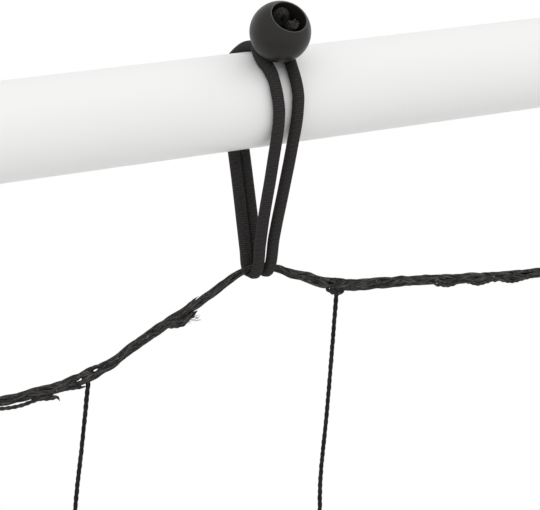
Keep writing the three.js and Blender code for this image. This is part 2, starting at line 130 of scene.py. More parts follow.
# ---- Finishes ----
def new_finish(name):
    """An empty material, its nodes, and the place on the piece that its patterns read."""
    finish = bpy.data.materials.new(name)
    finish.use_nodes = True
    tree = finish.node_tree
    tree.nodes.clear()
    return finish, tree, put(tree, "TexCoord").outputs["Object"]


def coat(tree, colour, roughness, normal, specular=0.5, metallic=0.0):
    """Ends a material in its surface."""
    inputs = {"Base Color": colour, "Roughness": roughness, "Normal": normal}
    inputs |= {"Specular IOR Level": specular, "Metallic": metallic}
    put(tree, "OutputMaterial", {"Surface": put(tree, "BsdfPrincipled", inputs).outputs[0]})


def noise(tree, where, scale, detail, roughness=0.5):
    inputs = {"Vector": where, "Scale": scale, "Detail": detail, "Roughness": roughness}
    return put(tree, "TexNoise", inputs).outputs["Fac"]


def spread(tree, value, low, high, from_low=0.3, from_high=0.7):
    """A pattern's value, stretched between two numbers."""
    inputs = {"Value": value, "From Min": from_low, "From Max": from_high, "To Min": low, "To Max": high}
    return put(tree, "MapRange", inputs).outputs["Result"]


def blend_colours(tree, share, first, second):
    mix = put(tree, "Mix", {0: share}, data_type="RGBA")
    for socket, colour in ((mix.inputs[6], first), (mix.inputs[7], second)):
        if isinstance(colour, bpy.types.NodeSocket):
            tree.links.new(colour, socket)
        else:
            socket.default_value = (*colour, 1)
    return mix.outputs[2]


def marked_share(tree, name):
    """How far an attribute marks the piece here, from 0 to 1."""
    return put(tree, "Attribute", attribute_name=name).outputs["Fac"]


def relief(tree, height, distance, strength, under=None):
    inputs = {"Height": height, "Distance": distance, "Strength": strength}
    if under:
        inputs["Normal"] = under
    return put(tree, "Bump", inputs).outputs["Normal"]


def powder_coat():
    """White powder coat: orange peel of about a millimetre, and faint grey rubs from handling."""
    finish, tree, where = new_finish("white_powder_coat")
    patches = spread(tree, noise(tree, where, 9, 3), 0, 1)
    rubs = spread(tree, noise(tree, where, 140, 4, 0.7), 0, 0.35, 0.66, 0.8)
    white = blend_colours(tree, patches, (0.865, 0.866, 0.858), (0.885, 0.885, 0.878))
    white = blend_colours(tree, rubs, white, (0.80, 0.80, 0.79))
    peel = relief(tree, noise(tree, where, 700, 2), 0.00012, 0.35)
    coat(tree, white, spread(tree, noise(tree, where, 60, 3), 0.33, 0.42), peel, 0.35)
    return finish


def moulded_plastic():
    """Black moulded plastic with a fine matt grain. An attribute marks the ball's lip, which is painted paler
    as a painted highlight of the rim.
    """
    finish, tree, where = new_finish("black_moulded_plastic")
    clouds = spread(tree, noise(tree, where, 90, 3), 0, 1)
    black = blend_colours(tree, clouds, (0.0105, 0.0097, 0.0087), (0.0155, 0.0145, 0.0130))
    # The paler colour on the marked lip is a painted highlight along the ball's mouth rim.
    black = blend_colours(tree, marked_share(tree, "painted_lip_highlight"), black, (0.10, 0.095, 0.089))
    grain = relief(tree, noise(tree, where, 5200, 2), 0.00003, 0.5)
    coat(tree, black, spread(tree, noise(tree, where, 240, 3), 0.33, 0.45), grain, 0.3)
    return finish


def bungee_sheath():
    """The bungee's black sheath: thread ribs across it every 0.9 mm, crossed by the lean of the braid, with a
    painted sheen on their crests and painted shade in their troughs. An attribute called bare marks the paler
    filaments of its cut end.

    Its UV map gives the share of the way round and the millimetres along."""
    finish, tree, where = new_finish("bungee_sheath")
    place = put(tree, "SeparateXYZ", {0: put(tree, "UVMap").outputs[0]}).outputs

    def ribs(lean, period):
        run = maths(tree, "ADD", maths(tree, "MULTIPLY", place[0], lean), place[1])
        return maths(tree, "SINE", maths(tree, "MULTIPLY", run, 2 * math.pi / period))

    straight = spread(tree, ribs(0.9, 0.9), 0, 1, -1, 1)
    leaning = spread(tree, ribs(-6.3, 2.1), 0.55, 1, -1, 1)
    rib_sheen_and_shade = maths(tree, "MULTIPLY", straight, leaning)
    fuzz = noise(tree, where, 2600, 3, 0.6)
    # Painted light: the rib crests are painted lighter as a sheen, and the troughs darker as shade between
    # the threads.
    black = blend_colours(tree, rib_sheen_and_shade, (0.0195, 0.0184, 0.0180), (0.046, 0.043, 0.042))
    black = blend_colours(tree, spread(tree, fuzz, 0, 0.5, 0.5, 0.75), black, (0.062, 0.059, 0.059))
    black = blend_colours(tree, marked_share(tree, "bare"), black, (0.068, 0.066, 0.063))
    bump = relief(tree, straight, 0.00012, 0.8)
    coat(tree, black, 0.62, relief(tree, fuzz, 0.00005, 0.5, bump), 0.05)
    return finish


def net_fibre():
    """Black polyethylene fibre: fine lengthwise filaments, raised by bump and painted paler along them as
    painted highlight streaks, with the odd pale one. An attribute called tarred darkens it.

    Its UV map gives the share of the way round a strand and the millimetres along."""
    finish, tree, where = new_finish("black_net_fibre")
    strand = put(tree, "UVMap").outputs[0]
    thin = put(tree, "VectorMath", {0: strand, 1: (9, 0.16, 1)}, operation="MULTIPLY").outputs[0]
    filaments_and_highlight_streaks = noise(tree, thin, 1.0, 3, 0.6)
    flecks = spread(tree, noise(tree, where, 900, 3, 0.7), 0, 0.8, 0.62, 0.72)
    clouds = spread(tree, noise(tree, where, 120, 2), 0, 1)
    dark = blend_colours(tree, clouds, (0.0065, 0.0063, 0.0060), (0.014, 0.0136, 0.013))
    # The paler filament colour is a painted highlight in streaks along the strands. The bump and roughness
    # from the same pattern are real.
    fibre = blend_colours(tree, spread(tree, filaments_and_highlight_streaks, 0, 1, 0.45, 0.68), dark, (0.098, 0.095, 0.090))
    fibre = blend_colours(tree, flecks, fibre, (0.24, 0.236, 0.23))
    fibre = blend_colours(tree, marked_share(tree, "tarred"), fibre, (0.004, 0.0038, 0.0036))
    bump = relief(tree, filaments_and_highlight_streaks, 0.00012, 0.7)
    coat(tree, fibre, spread(tree, filaments_and_highlight_streaks, 0.5, 0.68), bump, 0.12)
    return finish


def zinc_plate():
    """Bright zinc on steel: a faint crystal bloom and fine turning marks."""
    finish, tree, where = new_finish("bright_zinc_plate")
    bloom = put(tree, "TexVoronoi", {"Vector": where, "Scale": 620.0}).outputs["Distance"]
    bloom = spread(tree, bloom, 0, 1, 0.1, 0.7)
    zinc = blend_colours(tree, bloom, (0.60, 0.62, 0.65), (0.50, 0.51, 0.53))
    marks = relief(tree, noise(tree, where, 2400, 2), 0.00003, 0.4)
    coat(tree, zinc, spread(tree, noise(tree, where, 300, 3), 0.24, 0.4), marks, metallic=1.0)
    return finish


def pale_ground():
    """A pale matt floor that fades out towards its rim."""
    finish, tree, where = new_finish("pale_ground")
    reach = put(tree, "VectorMath", {0: where}, operation="LENGTH").outputs["Value"]
    mottle = spread(tree, noise(tree, where, 3, 3), 0, 1)
    grey = blend_colours(tree, mottle, (0.81, 0.81, 0.805), (0.83, 0.83, 0.825))
    floor = put(tree, "BsdfDiffuse", {"Color": grey})
    clear = put(tree, "BsdfTransparent")
    fade = spread(tree, reach, 0, 1, 2.9, 4.4)
    mix = put(tree, "MixShader", {0: fade, 1: floor.outputs[0], 2: clear.outputs[0]})
    put(tree, "OutputMaterial", {"Surface": mix.outputs[0]})
    return finish


FINISHES = {
    "white_powder_coat": powder_coat(),
    "black_plastic": moulded_plastic(),
    "elastic_cord": bungee_sheath(),
    "net_rope": net_fibre(),
    "zinc_steel": zinc_plate(),
}


# ---- Bench work ----
GROOVE_DEPTH = 0.0006


def only(piece=None):
    """Leaves one piece, or nothing, selected and active, in object mode."""
    if bpy.context.object and bpy.context.object.mode != "OBJECT":
        bpy.ops.object.mode_set(mode="OBJECT")
    bpy.ops.object.select_all(action="DESELECT")
    if piece:
        piece.select_set(True)
        bpy.context.view_layer.objects.active = piece


def start_piece(name, editing=True):
    """Names the primitive just added, gives it its place in its mesh, and opens it for editing."""
    piece = bpy.context.object
    piece.name = piece.data.name = name
    bpy.ops.object.transform_apply(location=True, rotation=True, scale=True)
    if editing:
        bpy.ops.object.mode_set(mode="EDIT")
    return piece


def close_up(piece, closeness=1e-5):
    """Merges what meets, turns the faces outwards, and leaves edit mode."""
    bpy.ops.mesh.select_all(action="SELECT")
    bpy.ops.mesh.remove_doubles(threshold=closeness)
    bpy.ops.mesh.normals_make_consistent(inside=False)
    bpy.ops.object.mode_set(mode="OBJECT")
    return piece


def extrude_by(x, y, z):
    bpy.ops.mesh.extrude_region_move(TRANSFORM_OT_translate={"value": (x, y, z)})


def modify(piece, kind, **settings):
    """Adds a modifier with its settings, and applies it."""
    only(piece)
    modifier = piece.modifiers.new(kind.lower(), kind)
    for name, value in settings.items():
        setattr(modifier, name, value)
    bpy.ops.object.modifier_apply(modifier=modifier.name)


def bevel(piece, width, segments, angle):
    """Bevels the edges that are sharper than an angle."""
    limit = math.radians(angle)
    modify(piece, "BEVEL", width=width, segments=segments, limit_method="ANGLE", angle_limit=limit)


def smooth_over(piece, angle=40):
    only(piece)
    bpy.ops.object.shade_smooth_by_angle(angle=math.radians(angle))


def soften(piece, width, segments=2):
    """Rounds the sharp edges and smooths the rest."""
    bevel(piece, width, segments, 35)
    smooth_over(piece)


def carve(piece, cutter):
    """Cuts a piece with a cutter, which goes."""
    modify(piece, "BOOLEAN", operation="DIFFERENCE", object=cutter, solver="EXACT")
    bpy.data.objects.remove(cutter)


def weld(piece, *others):
    """Joins pieces into one solid."""
    for other in others:
        modify(piece, "BOOLEAN", operation="UNION", object=other, solver="EXACT")
        bpy.data.objects.remove(other)


def cut_off(piece, point, outward):
    """Cuts off what lies beyond a plane, and closes the cut."""
    only(piece)
    bpy.ops.object.mode_set(mode="EDIT")
    bpy.ops.mesh.select_all(action="SELECT")
    bpy.ops.mesh.bisect(plane_co=point, plane_no=outward, use_fill=True, clear_outer=True)
    close_up(piece)


def copied(piece, name, placement):
    """A copy with its own mesh, put in place, its faces turned outwards again if it is mirrored."""
    copy = piece.copy()
    copy.data = piece.data.copy()
    copy.name = copy.data.name = name
    bpy.context.scene.collection.objects.link(copy)
    copy.data.transform(placement)
    if placement.determinant() < 0:
        copy.data.flip_normals()
    return copy


def put_away(*patterns):
    """Removes pattern pieces, once their copies are made."""
    for pattern in patterns:
        bpy.data.objects.remove(pattern)


def fit(piece, body, slot, *nodes):
    """Gives a finished piece its finish, its body and the nodes that it stands for."""
    piece.data.materials.clear()
    piece.data.materials.append(FINISHES[slot])
    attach(piece, body)
    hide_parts(*nodes)


def mark(piece, name, values):
    """Gives a piece an attribute that its finish reads: one value for it all, or one for each vertex."""
    values = np.broadcast_to(values, len(piece.data.vertices)).astype(np.float32)
    piece.data.attributes.new(name, "FLOAT", "POINT").data.foreach_set("value", values)


def drawn(name, points):
    """A line drawn from point to point, all of it selected in edit mode."""
    only()
    bpy.ops.mesh.primitive_plane_add(size=0.001, location=tuple(points[0]))
    piece = start_piece(name)
    bpy.ops.mesh.merge(type="CENTER")
    for before, after in zip(points, points[1:]):
        step = tuple(b - a for a, b in zip(before, after))
        bpy.ops.mesh.extrude_vertices_move(TRANSFORM_OT_translate={"value": step})
    bpy.ops.mesh.select_all(action="SELECT")
    return piece


def turned(name, outline, sides=64, closed=False):
    """Spins an outline of (radius, height) points about Z."""
    corners = [(radius, 0, height) for radius, height in outline]
    piece = drawn(name, corners + corners[:1] if closed else corners)
    bpy.ops.mesh.spin(steps=sides, angle=2 * math.pi, center=(0, 0, 0), axis=(0, 0, 1))
    return close_up(piece, 2e-6)


def peg(name, radius, start, end, sides=32):
    """A round bar between two points: a cutter or a pin."""
    start, end = Vector(start), Vector(end)
    only()
    facing = (end - start).to_track_quat("Z", "Y").to_euler()
    bpy.ops.mesh.primitive_cylinder_add(
        vertices=sides, radius=radius, depth=(end - start).length, location=(start + end) / 2, rotation=facing
    )
    return start_piece(name, editing=False)


def slab(name, low, high):
    """A block between two corners."""
    only()
    low, high = Vector(low), Vector(high)
    bpy.ops.mesh.primitive_cube_add(size=1, location=(low + high) / 2, scale=high - low)
    return start_piece(name, editing=False)


def disc(radius, half, ease, ease_along):
    """The outline of a round disc or pin with eased rims, half its length to each side of the middle."""
    rim, flat = radius - ease, half - ease_along
    return [(0, -half), (rim, -half), (radius, -flat), (radius, flat), (rim, half), (0, half)]


def groove(radius, height, width, slope):
    """A groove round an outline, from its height up."""
    floor, top = radius - GROOVE_DEPTH, height + width
    return [(radius, height), (floor, height + slope), (floor, top - slope), (radius, top)]


def quarter_round(radius, height, out, up, count):
    """A quarter of an ellipse in an outline, from its side to its top."""
    turns = np.linspace(0, math.pi / 2, count)
    return [(radius + out * math.cos(a), height + up * math.sin(a)) for a in turns]


# ---- Tubes ----
def straight_tube(name, length, radius, spigot=False):
    """A tube up Z from the ground, its rims eased, or its top swaged to a spigot after the length."""
    ease, swage = 0.0003, 0.004
    outline = [(radius - ease, 0), (radius, ease)]
    if spigot:
        top, bore = length + SPIGOT_LENGTH, SPIGOT_R - WALL
        outline += [(radius, length - swage), (radius - 0.0004, length - 0.002), (SPIGOT_R + 0.0003, length)]
        outline += [(SPIGOT_R, length + 0.002), (SPIGOT_R, top - 0.002), (SPIGOT_R - 0.0007, top)]
        outline += [(bore, top), (bore, length), (radius - WALL, length - swage)]
    else:
        outline += [(radius, length - ease), (radius - ease, length), (radius - WALL, length)]
    return turned(name, outline + [(radius - WALL, 0)], closed=True)


def drill(piece, start, end):
    """Drills a tube's wall for a snap button."""
    carve(piece, peg("drill", BUTTON_HOLE_R, start, end))


def drill_rail(piece, *places):
    for x in places:
        drill(piece, (x, 0.004, RAIL_Z), (x, 0.030, RAIL_Z))
    smooth_over(piece)


def make_rail():
    laid = Matrix.Translation((0, 0, RAIL_Z)) @ turn(90, "Y")
    gap = 0.0003
    left = straight_tube("rail_tube_left", SEAM_X - gap, TUBE_R, spigot=True)
    left.data.transform(Matrix.Translation((gap - SEAM_X, 0, 0)) @ laid)
    drill_rail(left, RAIL_BUTTON_X, -CORNER_BUTTON_X)
    fit(left, "upper_frame", "white_powder_coat", "top_rail_left")
    right = straight_tube("rail_tube_right", SEAM_X - 2 * gap, TUBE_R)
    right.data.transform(Matrix.Translation((gap, 0, 0)) @ laid)
    drill_rail(right, RAIL_BUTTON_X, CORNER_BUTTON_X)
    fit(right, "upper_frame", "white_powder_coat", "top_rail_right")


def make_corner_poles():
    """Each pole: a ring raised to the bend, spun round it, drawn to the seam and narrowed to its spigot."""
    only()
    bpy.ops.mesh.primitive_circle_add(vertices=64, radius=TUBE_R, location=(POLE_X, 0, POLE_FOOT_Z))
    right = start_piece("corner_pole_right")
    bend = (POLE_X - BEND_R, 0, RAIL_Z - BEND_R)
    extrude_by(0, 0, bend[2] - POLE_FOOT_Z)
    bpy.ops.mesh.spin(steps=24, angle=math.pi / 2, center=bend, axis=(0, 1, 0))
    radius, x = TUBE_R, bend[0]
    tip = SEAM_X - SPIGOT_LENGTH
    for next_x, next_radius in (
        (SEAM_X + 0.004, TUBE_R), (SEAM_X + 0.002, 0.0186), (SEAM_X, 0.0173), (SEAM_X - 0.002, SPIGOT_R),
        (CORNER_BUTTON_X + 0.008, SPIGOT_R), (CORNER_BUTTON_X - 0.008, SPIGOT_R), (tip + 0.002, SPIGOT_R),
        (tip, 0.0163),
    ):
        extrude_by(next_x - x, 0, 0)
        narrower = next_radius / radius
        if narrower != 1:
            bpy.ops.transform.resize(value=(1, narrower, narrower), center_override=(next_x, 0, RAIL_Z))
        radius, x = next_radius, next_x
    close_up(right)
    modify(right, "SOLIDIFY", thickness=WALL, offset=-1)
    drill_rail(right, CORNER_BUTTON_X)
    left = copied(right, "corner_pole_left", Matrix.Scale(-1, 4, (1, 0, 0)))
    fit(right, "upper_frame", "white_powder_coat", "upper_pole_right")
    fit(left, "upper_frame", "white_powder_coat", "upper_pole_left")


# ---- Routes and cords ----
def smooth_route(points, step):
    """A smooth curve through points, sampled about a step apart, and how far along it each sample is."""
    spots = np.array(points, float)
    gaps = np.linalg.norm(np.diff(spots[:, :3], axis=0), axis=1)[:, None]
    slopes = np.diff(spots, axis=0) / gaps
    middle = (slopes[1:] * gaps[:-1] + slopes[:-1] * gaps[1:]) / (gaps[1:] + gaps[:-1])
    leans = np.vstack([slopes[:1], middle, slopes[-1:]])
    t = np.linspace(0, 1, 12, endpoint=False)[:, None]
    parts = []
    for i, gap in enumerate(gaps):
        parts.append(
            (2 * t**3 - 3 * t**2 + 1) * spots[i] + (t**3 - 2 * t**2 + t) * gap * leans[i]
            + (3 * t**2 - 2 * t**3) * spots[i + 1] + (t**3 - t**2) * gap * leans[i + 1]
        )
    curve = np.vstack([*parts, spots[-1:]])
    run = np.concatenate([[0], np.cumsum(np.linalg.norm(np.diff(curve[:, :3], axis=0), axis=1))])
    along = np.linspace(0, run[-1], max(3, round(run[-1] / step) + 1))
    return np.column_stack([np.interp(along, run, column) for column in curve.T]), along


def directions(route):
    steps = np.gradient(route, axis=0)
    return steps / np.linalg.norm(steps, axis=1, keepdims=True)


def across(route, side):
    """Two directions across a route at each of its points: one nearest to a side, and one square to it."""
    forward = directions(route)
    side = np.array(side, float)
    first = side - forward * (forward @ side)[:, None]
    first /= np.linalg.norm(first, axis=1, keepdims=True)
    return first, np.cross(forward, first)


def carried_across(route, side):
    """The same, for a route that turns every way: the side is carried along it without twist."""
    forward = directions(route)
    first = np.empty_like(forward)
    side = np.array(side, float)
    for i, ahead in enumerate(forward):
        side = side - ahead * ahead.dot(side)
        side /= np.linalg.norm(side)
        first[i] = side
    return first, np.cross(forward, first)


def circle(sides):
    turns = np.arange(sides) * 2 * math.pi / sides
    return np.column_stack([np.cos(turns), np.sin(turns)])


def ringed(centre, first, second, sides, wide, thick):
    """Rings round a route's points: wide and thick are their half-widths in the two directions across it."""
    u, v = circle(sides).T
    wide, thick = (np.broadcast_to(half, len(centre))[:, None] for half in (wide, thick))
    return centre[:, None] + first[:, None] * (u * wide)[..., None] + second[:, None] * (v * thick)[..., None]


def skinned(name, strands):
    """One piece from strands of rings, each with the millimetres along it for its UV map, and capped ends."""
    spots, corners, starts, uvs = [], [], [], []
    offset = corner_count = 0
    for rings, along in strands:
        count, sides = rings.shape[:2]
        ring, side = np.meshgrid(np.arange(count - 1), np.arange(sides), indexing="ij")
        low, after = ring * sides, (side + 1) % sides
        quads = np.stack([low + side, low + after, low + sides + after, low + sides + side], -1)
        uv_round = np.stack([side, side + 1, side + 1, side], -1) / sides
        uv_along = np.stack([along[ring], along[ring], along[ring + 1], along[ring + 1]], -1)
        caps = np.stack([np.arange(sides)[::-1], (count - 1) * sides + np.arange(sides)])
        spots.append(rings.reshape(-1, 3))
        corners += [quads.ravel() + offset, caps.ravel() + offset]
        starts.append(corner_count + np.arange(0, quads.size, 4))
        starts.append(corner_count + quads.size + np.array([0, sides]))
        ends = np.stack([np.tile(np.arange(sides) / sides, 2), np.repeat([along[0], along[-1]], sides)], -1)
        uvs += [np.stack([uv_round, uv_along], -1).reshape(-1, 2), ends]
        offset += count * sides
        corner_count += quads.size + 2 * sides
    mesh = bpy.data.meshes.new(name)
    for elements, field, values in (
        (mesh.vertices, "co", np.concatenate(spots)),
        (mesh.loops, "vertex_index", np.concatenate(corners)),
        (mesh.polygons, "loop_start", np.concatenate(starts)),
    ):
        elements.add(len(values))
        elements.foreach_set(field, values.ravel().astype(np.float32 if field == "co" else np.int32))
    mesh.update(calc_edges=True)
    mesh.uv_layers.new(name="UVMap").data.foreach_set("uv", np.concatenate(uvs).ravel().astype(np.float32))
    mesh.polygons.foreach_set("use_smooth", np.ones(len(mesh.polygons), bool))
    piece = bpy.data.objects.new(name, mesh)
    bpy.context.scene.collection.objects.link(piece)
    return piece


# ---- Ball ties, drawn in millimetres round the rail's middle line ----
BALL_R, BALL_CENTRE, BALL_TILT = 12, (-1.2, -16.58, 29.91), 42
BALL_PLACE = Matrix.Translation(BALL_CENTRE) @ turn(BALL_TILT, "X")
ROPE_DEPTH = 69.5
HUG = 21.45


def from_axis(degrees, distance, x=0.0, depth=0.0):
    """A point at an angle from straight up towards the front, round an axis that runs along X."""
    angle = math.radians(degrees)
    return x, -distance * math.sin(angle), distance * math.cos(angle) - depth


def in_ball(x, y, z):
    """Where the tilted ball has a point that is drawn in it upright."""
    return tuple(BALL_PLACE @ Vector((x, y, z)))


def ball_pattern():
    """The ball: a round lip at its mouth, a cavity for the knot, and a narrow way out behind."""
    turns = np.linspace(math.pi - 0.485, 0.702, 30)
    outline = [(BALL_R * math.sin(a), BALL_R * math.cos(a)) for a in turns]
    outline += [(7.6, 9.3), (7.42, 9.37), (7.25, 9.33), (7.14, 9.18), (7.1, 8.9), (7.05, 7), (6.95, 3)]
    outline += [(6.8, 0.5), (6.5, -2), (5.9, -4.4), (5.2, -6), (5, -7), (5, -9.7), (5.08, -10.3)]
    outline += [(5.3, -10.62)]
    ball = turned("ball_pattern", [(r * MM, z * MM) for r, z in outline], closed=True)
    smooth_over(ball, 50)
    # Marks the lip, where the finish paints a highlight of the ball's rim.
    mark(ball, "painted_lip_highlight", [spot.co.z > 0.00925 and spot.co.xy.length < 0.0075 for spot in ball.data.vertices])
    ball.data.transform(Matrix.Scale(MM, 4) @ BALL_PLACE @ Matrix.Scale(1000, 4))
    return ball


def leg_route(side):
    """Half of the loop's middle line, with the cord's radius: from the ball's neck over the tube, down behind
    it, round under the rope and up the front to the bight behind the ball."""
    thin = [(*in_ball(side * 2.05, 0, z), 2.02) for z in (-2, -6, -9.5)]
    thin += [(*from_axis(13, 21.7, -0.7 + side * 2.2), 2.1), (*from_axis(-4, 21.3, side * 2.3), 2.1)]
    down = [(*from_axis(a, 21.15, side * 2.25), 2.2) for a in (-20, -36)]
    down += [(*from_axis(a, HUG, side * 2.25), 2.5) for a in (-54, -72, -90, -104)]
    slope = [(0.25, 2.3), (0.5, 2.3), (0.75, 2.35 - 0.2 * side), (0.9, 2.3 - 0.4 * side)]
    top, bottom = from_axis(104.4, HUG), from_axis(104.4, 3.7, 0, ROPE_DEPTH)
    for share, x in slope:
        y, z = (start + share * (end - start) for start, end in zip(top[1:], bottom[1:]))
        down.append((side * x, -y, z, 2.5))
    down.append((*from_axis(-104, 3.65, side * (2.55 - 0.45 * side), ROPE_DEPTH), 2.4))
    for angle, distance in ((-130, 3.3), (-155, 2.8), (180, 2.45), (155, 2.8), (130, 3.3), (104, 3.65)):
        down.append((*from_axis(angle, distance, side * (2.9 - 0.15 * side), ROPE_DEPTH), 2.35))
    if side > 0:
        front = [(-56, 2.75), (-48, 2.95), (-40, 3.3), (-32, 3.6), (-24, 3.9), (-14, 4.1)]
        over = [(102, 4.2), (86, 4.4), (78, 4.7), (69, 4.8), (57, 4.9), (45, 5.2), (37, 5.7)]
        bight = [(27, 21.4, 6.3), (18, 21.7, 6.6), (10, 22.5, 6.2), (4, 24.2, 4.6), (1, 25, 2.2)]
    else:
        front = [(-58, 3.4), (-50, 3.7), (-43, 3.8), (-30, 3.7), (-20, 3.8), (-12, 3.85)]
        over = [(105, 4.1), (89, 4.4), (81, 4.6), (69, 4.8), (57, 4.85), (49, 5.0), (41, 5.35), (33, 6.0)]
        bight = [(26, 21.4, 6.3), (18, 21.9, 5.7), (11, 23.3, 4.0), (5, 24.7, 2.1), (2, 25.1, 0.9)]
    rise = []
    for z, x in front:
        share = (z - bottom[2]) / (top[2] - bottom[2])
        rise.append((side * x, bottom[1] + share * (top[1] - bottom[1]), z, 2.38))
    rise += [(*from_axis(a, HUG, side * x), 2.36 if a > 50 or side > 0 else 2.6) for a, x in over]
    rise += [(*from_axis(a, r, side * x), 2.05) for a, r, x in bight]
    return thin + down + rise


def sheathed(points, sides=24, step=0.8, squash=False, wide=1.0):
    """A strand of the bungee through points with radii; under the rope that it holds it is squashed flat."""
    route, along = smooth_route(points, step)
    centre, radius = route[:, :3], route[:, 3]
    first, second = carried_across(centre, (1, 0, 0))
    rings = ringed(centre, first, second, sides, radius * wide, radius / wide)
    if squash:
        out = centre * (0, 1, 1) + (0, 0, ROPE_DEPTH)
        distance = np.linalg.norm(out, axis=1)
        out /= distance[:, None]
        share = np.clip((distance - 1.45) / radius, 0.42, 1)
        offset = rings - centre[:, None]
        depth = (offset * out[:, None]).sum(-1, keepdims=True) * out[:, None]
        bulge = np.minimum(share**-0.4, 1.16)
        rings = centre[:, None] + depth * share[:, None, None] + (offset - depth) * bulge[:, None, None]
    return rings * MM, along


def knot_parts():
    """The knot in the upright ball: an arch folded in two bands, a stub, a turn, and the stub's frays."""
    arch = [(-2.2, 0.4, -2.5), (-2.4, 2.4, 0), (-2.3, 4.0, 3.0), (-1.7, 4.7, 5.6), (-0.1, 5.0, 7.0)]
    arch += [(1.6, 4.5, 6.4), (2.6, 3.5, 3.8), (2.5, 2.4, 1.0)]
    bands = []
    for size, low in ((1.16, 0.3), (0.64, 0)):
        bands.append([(0.2 + size * (x - 0.2), 2.2 + size * (y - 2.2), z - low, 1.2) for x, y, z in arch])
    stub = [(2.05, 0, -2.5, 2.0), (3.0, -1.0, 0.4, 2.1), (3.5, -1.2, 2.8, 2.2), (3.3, -1.0, 4.9, 2.0)]
    turns = [math.radians(a) for a in range(-30, 345, 25)]
    knot = [(4.1 * math.cos(a), 4.1 * math.sin(a), 0.4 + 1.1 * math.sin(2 * a), 2.1) for a in turns]
    frays = []
    for k in range(14):
        x, y = math.cos(2.4 * k), math.sin(2.4 * k)
        tip = (3.1 + 2.2 * x, -1.0 + 2.3 * y, 5.9 + 0.7 * math.sin(5.0 * k), 0.2)
        frays.append([(3.4 + x, -1.1 + y, 3.6, 0.5), (3.3 + 1.4 * x, -1.1 + 1.4 * y, 5.2, 0.38), tip])
    return [*bands, stub, knot], frays


def cord_pattern():
    """The bungee of one tie: the loop, and in the ball its two ends tied through a turn of the knot."""
    loop = leg_route(1) + [(*from_axis(0.5, 25.2), 2.0)] + leg_route(-1)[::-1]
    knot, frays = ([[(*in_ball(*p[:3]), p[3]) for p in part] for part in parts] for parts in knot_parts())
    strands = [sheathed(part, wide=wide) for part, wide in zip(knot, (1.0, 1.0, 1.1, 1.0))]
    ends = [sheathed(part, 6, 0.6) for part in frays]
    cord = skinned("cord_pattern", [sheathed(loop, squash=True), *strands, *ends])
    bare = np.zeros(len(cord.data.vertices))
    bare[-sum(rings.shape[0] * rings.shape[1] for rings, _ in ends):] = 1
    mark(cord, "bare", bare)
    return cord


def make_ties():
    ball, cord = ball_pattern(), cord_pattern()
    places = {f"top_{i + 1}": Matrix.Translation((x, 0, RAIL_Z)) for i, x in enumerate(TIE_XS)}
    for side, outward in SIDES.items():
        for i, drop in enumerate(SIDE_TIE_DROPS):
            height = hang(outward * NET_HALF, drop)[2]
            place = Matrix.Translation((outward * POLE_X, 0, height)) @ turn(outward * 90, "Y")
            places[f"{side}_{i + 1}"] = place
    for tie, place in places.items():
        fit(copied(ball, f"ball_{tie}", place), "upper_frame", "black_plastic", f"tie_ball_{tie}")
        fit(copied(cord, f"bungee_{tie}", place), "upper_frame", "elastic_cord", f"tie_cord_{tie}")
    put_away(ball, cord)


# ---- How the net hangs, in metres, but the sag in millimetres: past the tie, and down from the rail ----
KNOTS = (0.037, 0.161, 0.272, 0.382)
KNOT_XS = [-NET_HALF] + [tie + past for tie in TIE_XS for past in KNOTS if tie + past < NET_HALF + 0.001]
PHOTO_SAG = [
    (-188, -108), (-160, -107.7), (-135, -106.8), (-116, -106), (-103, -105.1), (-90, -104.4), (-84, -103.6),
    (-78, -102), (-70, -99.7), (-57, -93.3), (-43, -87), (-29.5, -81.3), (-22.5, -78), (-15.5, -74.3),
    (-8.5, -71), (0, -69.5), (8.2, -71.2), (15.5, -74.3), (22.8, -77.1), (30.2, -80.4), (37, -82.5),
    (45, -84.3), (60, -86), (76, -87.8), (100, -90.6), (116, -92), (132, -93.6), (161, -95.8), (190, -98.3),
    (230, -104), (272, -108),
]
SIDE_PULL = sorted(
    [(0, 0), (0.06, -0.014), (0.25, -0.015), (0.46, -0.02), (0.67, -0.015), (0.86, -0.014), (NET_DROP, 0)]
    + [(drop + step, 0) for drop in SIDE_TIE_DROPS for step in (-0.006, 0.006)]
)


def head_height(x):
    """Of the head rope against the rail, the same from each tie to the next as round the photographed one."""
    before = -PHOTO_SAG[0][0] * MM
    past = (np.asarray(x) - TIE_XS[0] + before) % TIE_STEP - before
    return np.interp(past, *np.array(PHOTO_SAG).T * MM)


def foot_height(x):
    return -NET_DROP - 0.1 + 0.4 * (head_height(x) + 0.1)


def half_width(drop):
    return NET_HALF + np.interp(drop, *np.array(SIDE_PULL).T)


def hang(u, drop):
    """Where a point of the flat net hangs: u sideways from its middle, drop down from its head."""
    share = drop / NET_DROP
    slack = math.sin(math.pi * share) * (1 - (u / NET_HALF) ** 8)
    height = head_height(u) * (1 - share) + foot_height(u) * share
    return u * half_width(drop) / NET_HALF - 0.004 * slack, 0.006 * slack, RAIL_Z + height


def hang_mm(u, drop):
    return 1000 * np.array(hang(u, drop))


# ---- Ropes, drawn in millimetres ----
HALF_THICKNESS = [
    (-188, 2.3), (-119, 1.9), (-108, 2.2), (-101, 2.45), (-91, 2.5), (-82, 2.9), (-74, 2.75), (-64, 2.1),
    (-50, 2.3), (-38, 2.15), (-28, 2.0), (-14, 1.8), (-8, 1.6), (0, 1.42), (8, 1.85), (18, 2.15), (26, 2.35),
    (34, 2.65), (45, 2.75), (60, 2.5), (100, 2.35), (200, 2.3), (272, 2.3),
]
PINHOLES = [
    (-74.6, 0.7, 0.75), (-81.4, 0.7, -0.6), (37.5, 1.3, 0.3), (34.5, 0, 0.3), (91, -1.5, 0.4),
    (120, -1.4, 0.35), (150, -1.4, 0.35),
]
BRAID_PITCH, CLOSE_REACH = 62.0, 130
TOWARDS_LENS, BELOW_LENS = 0.53, 0.35


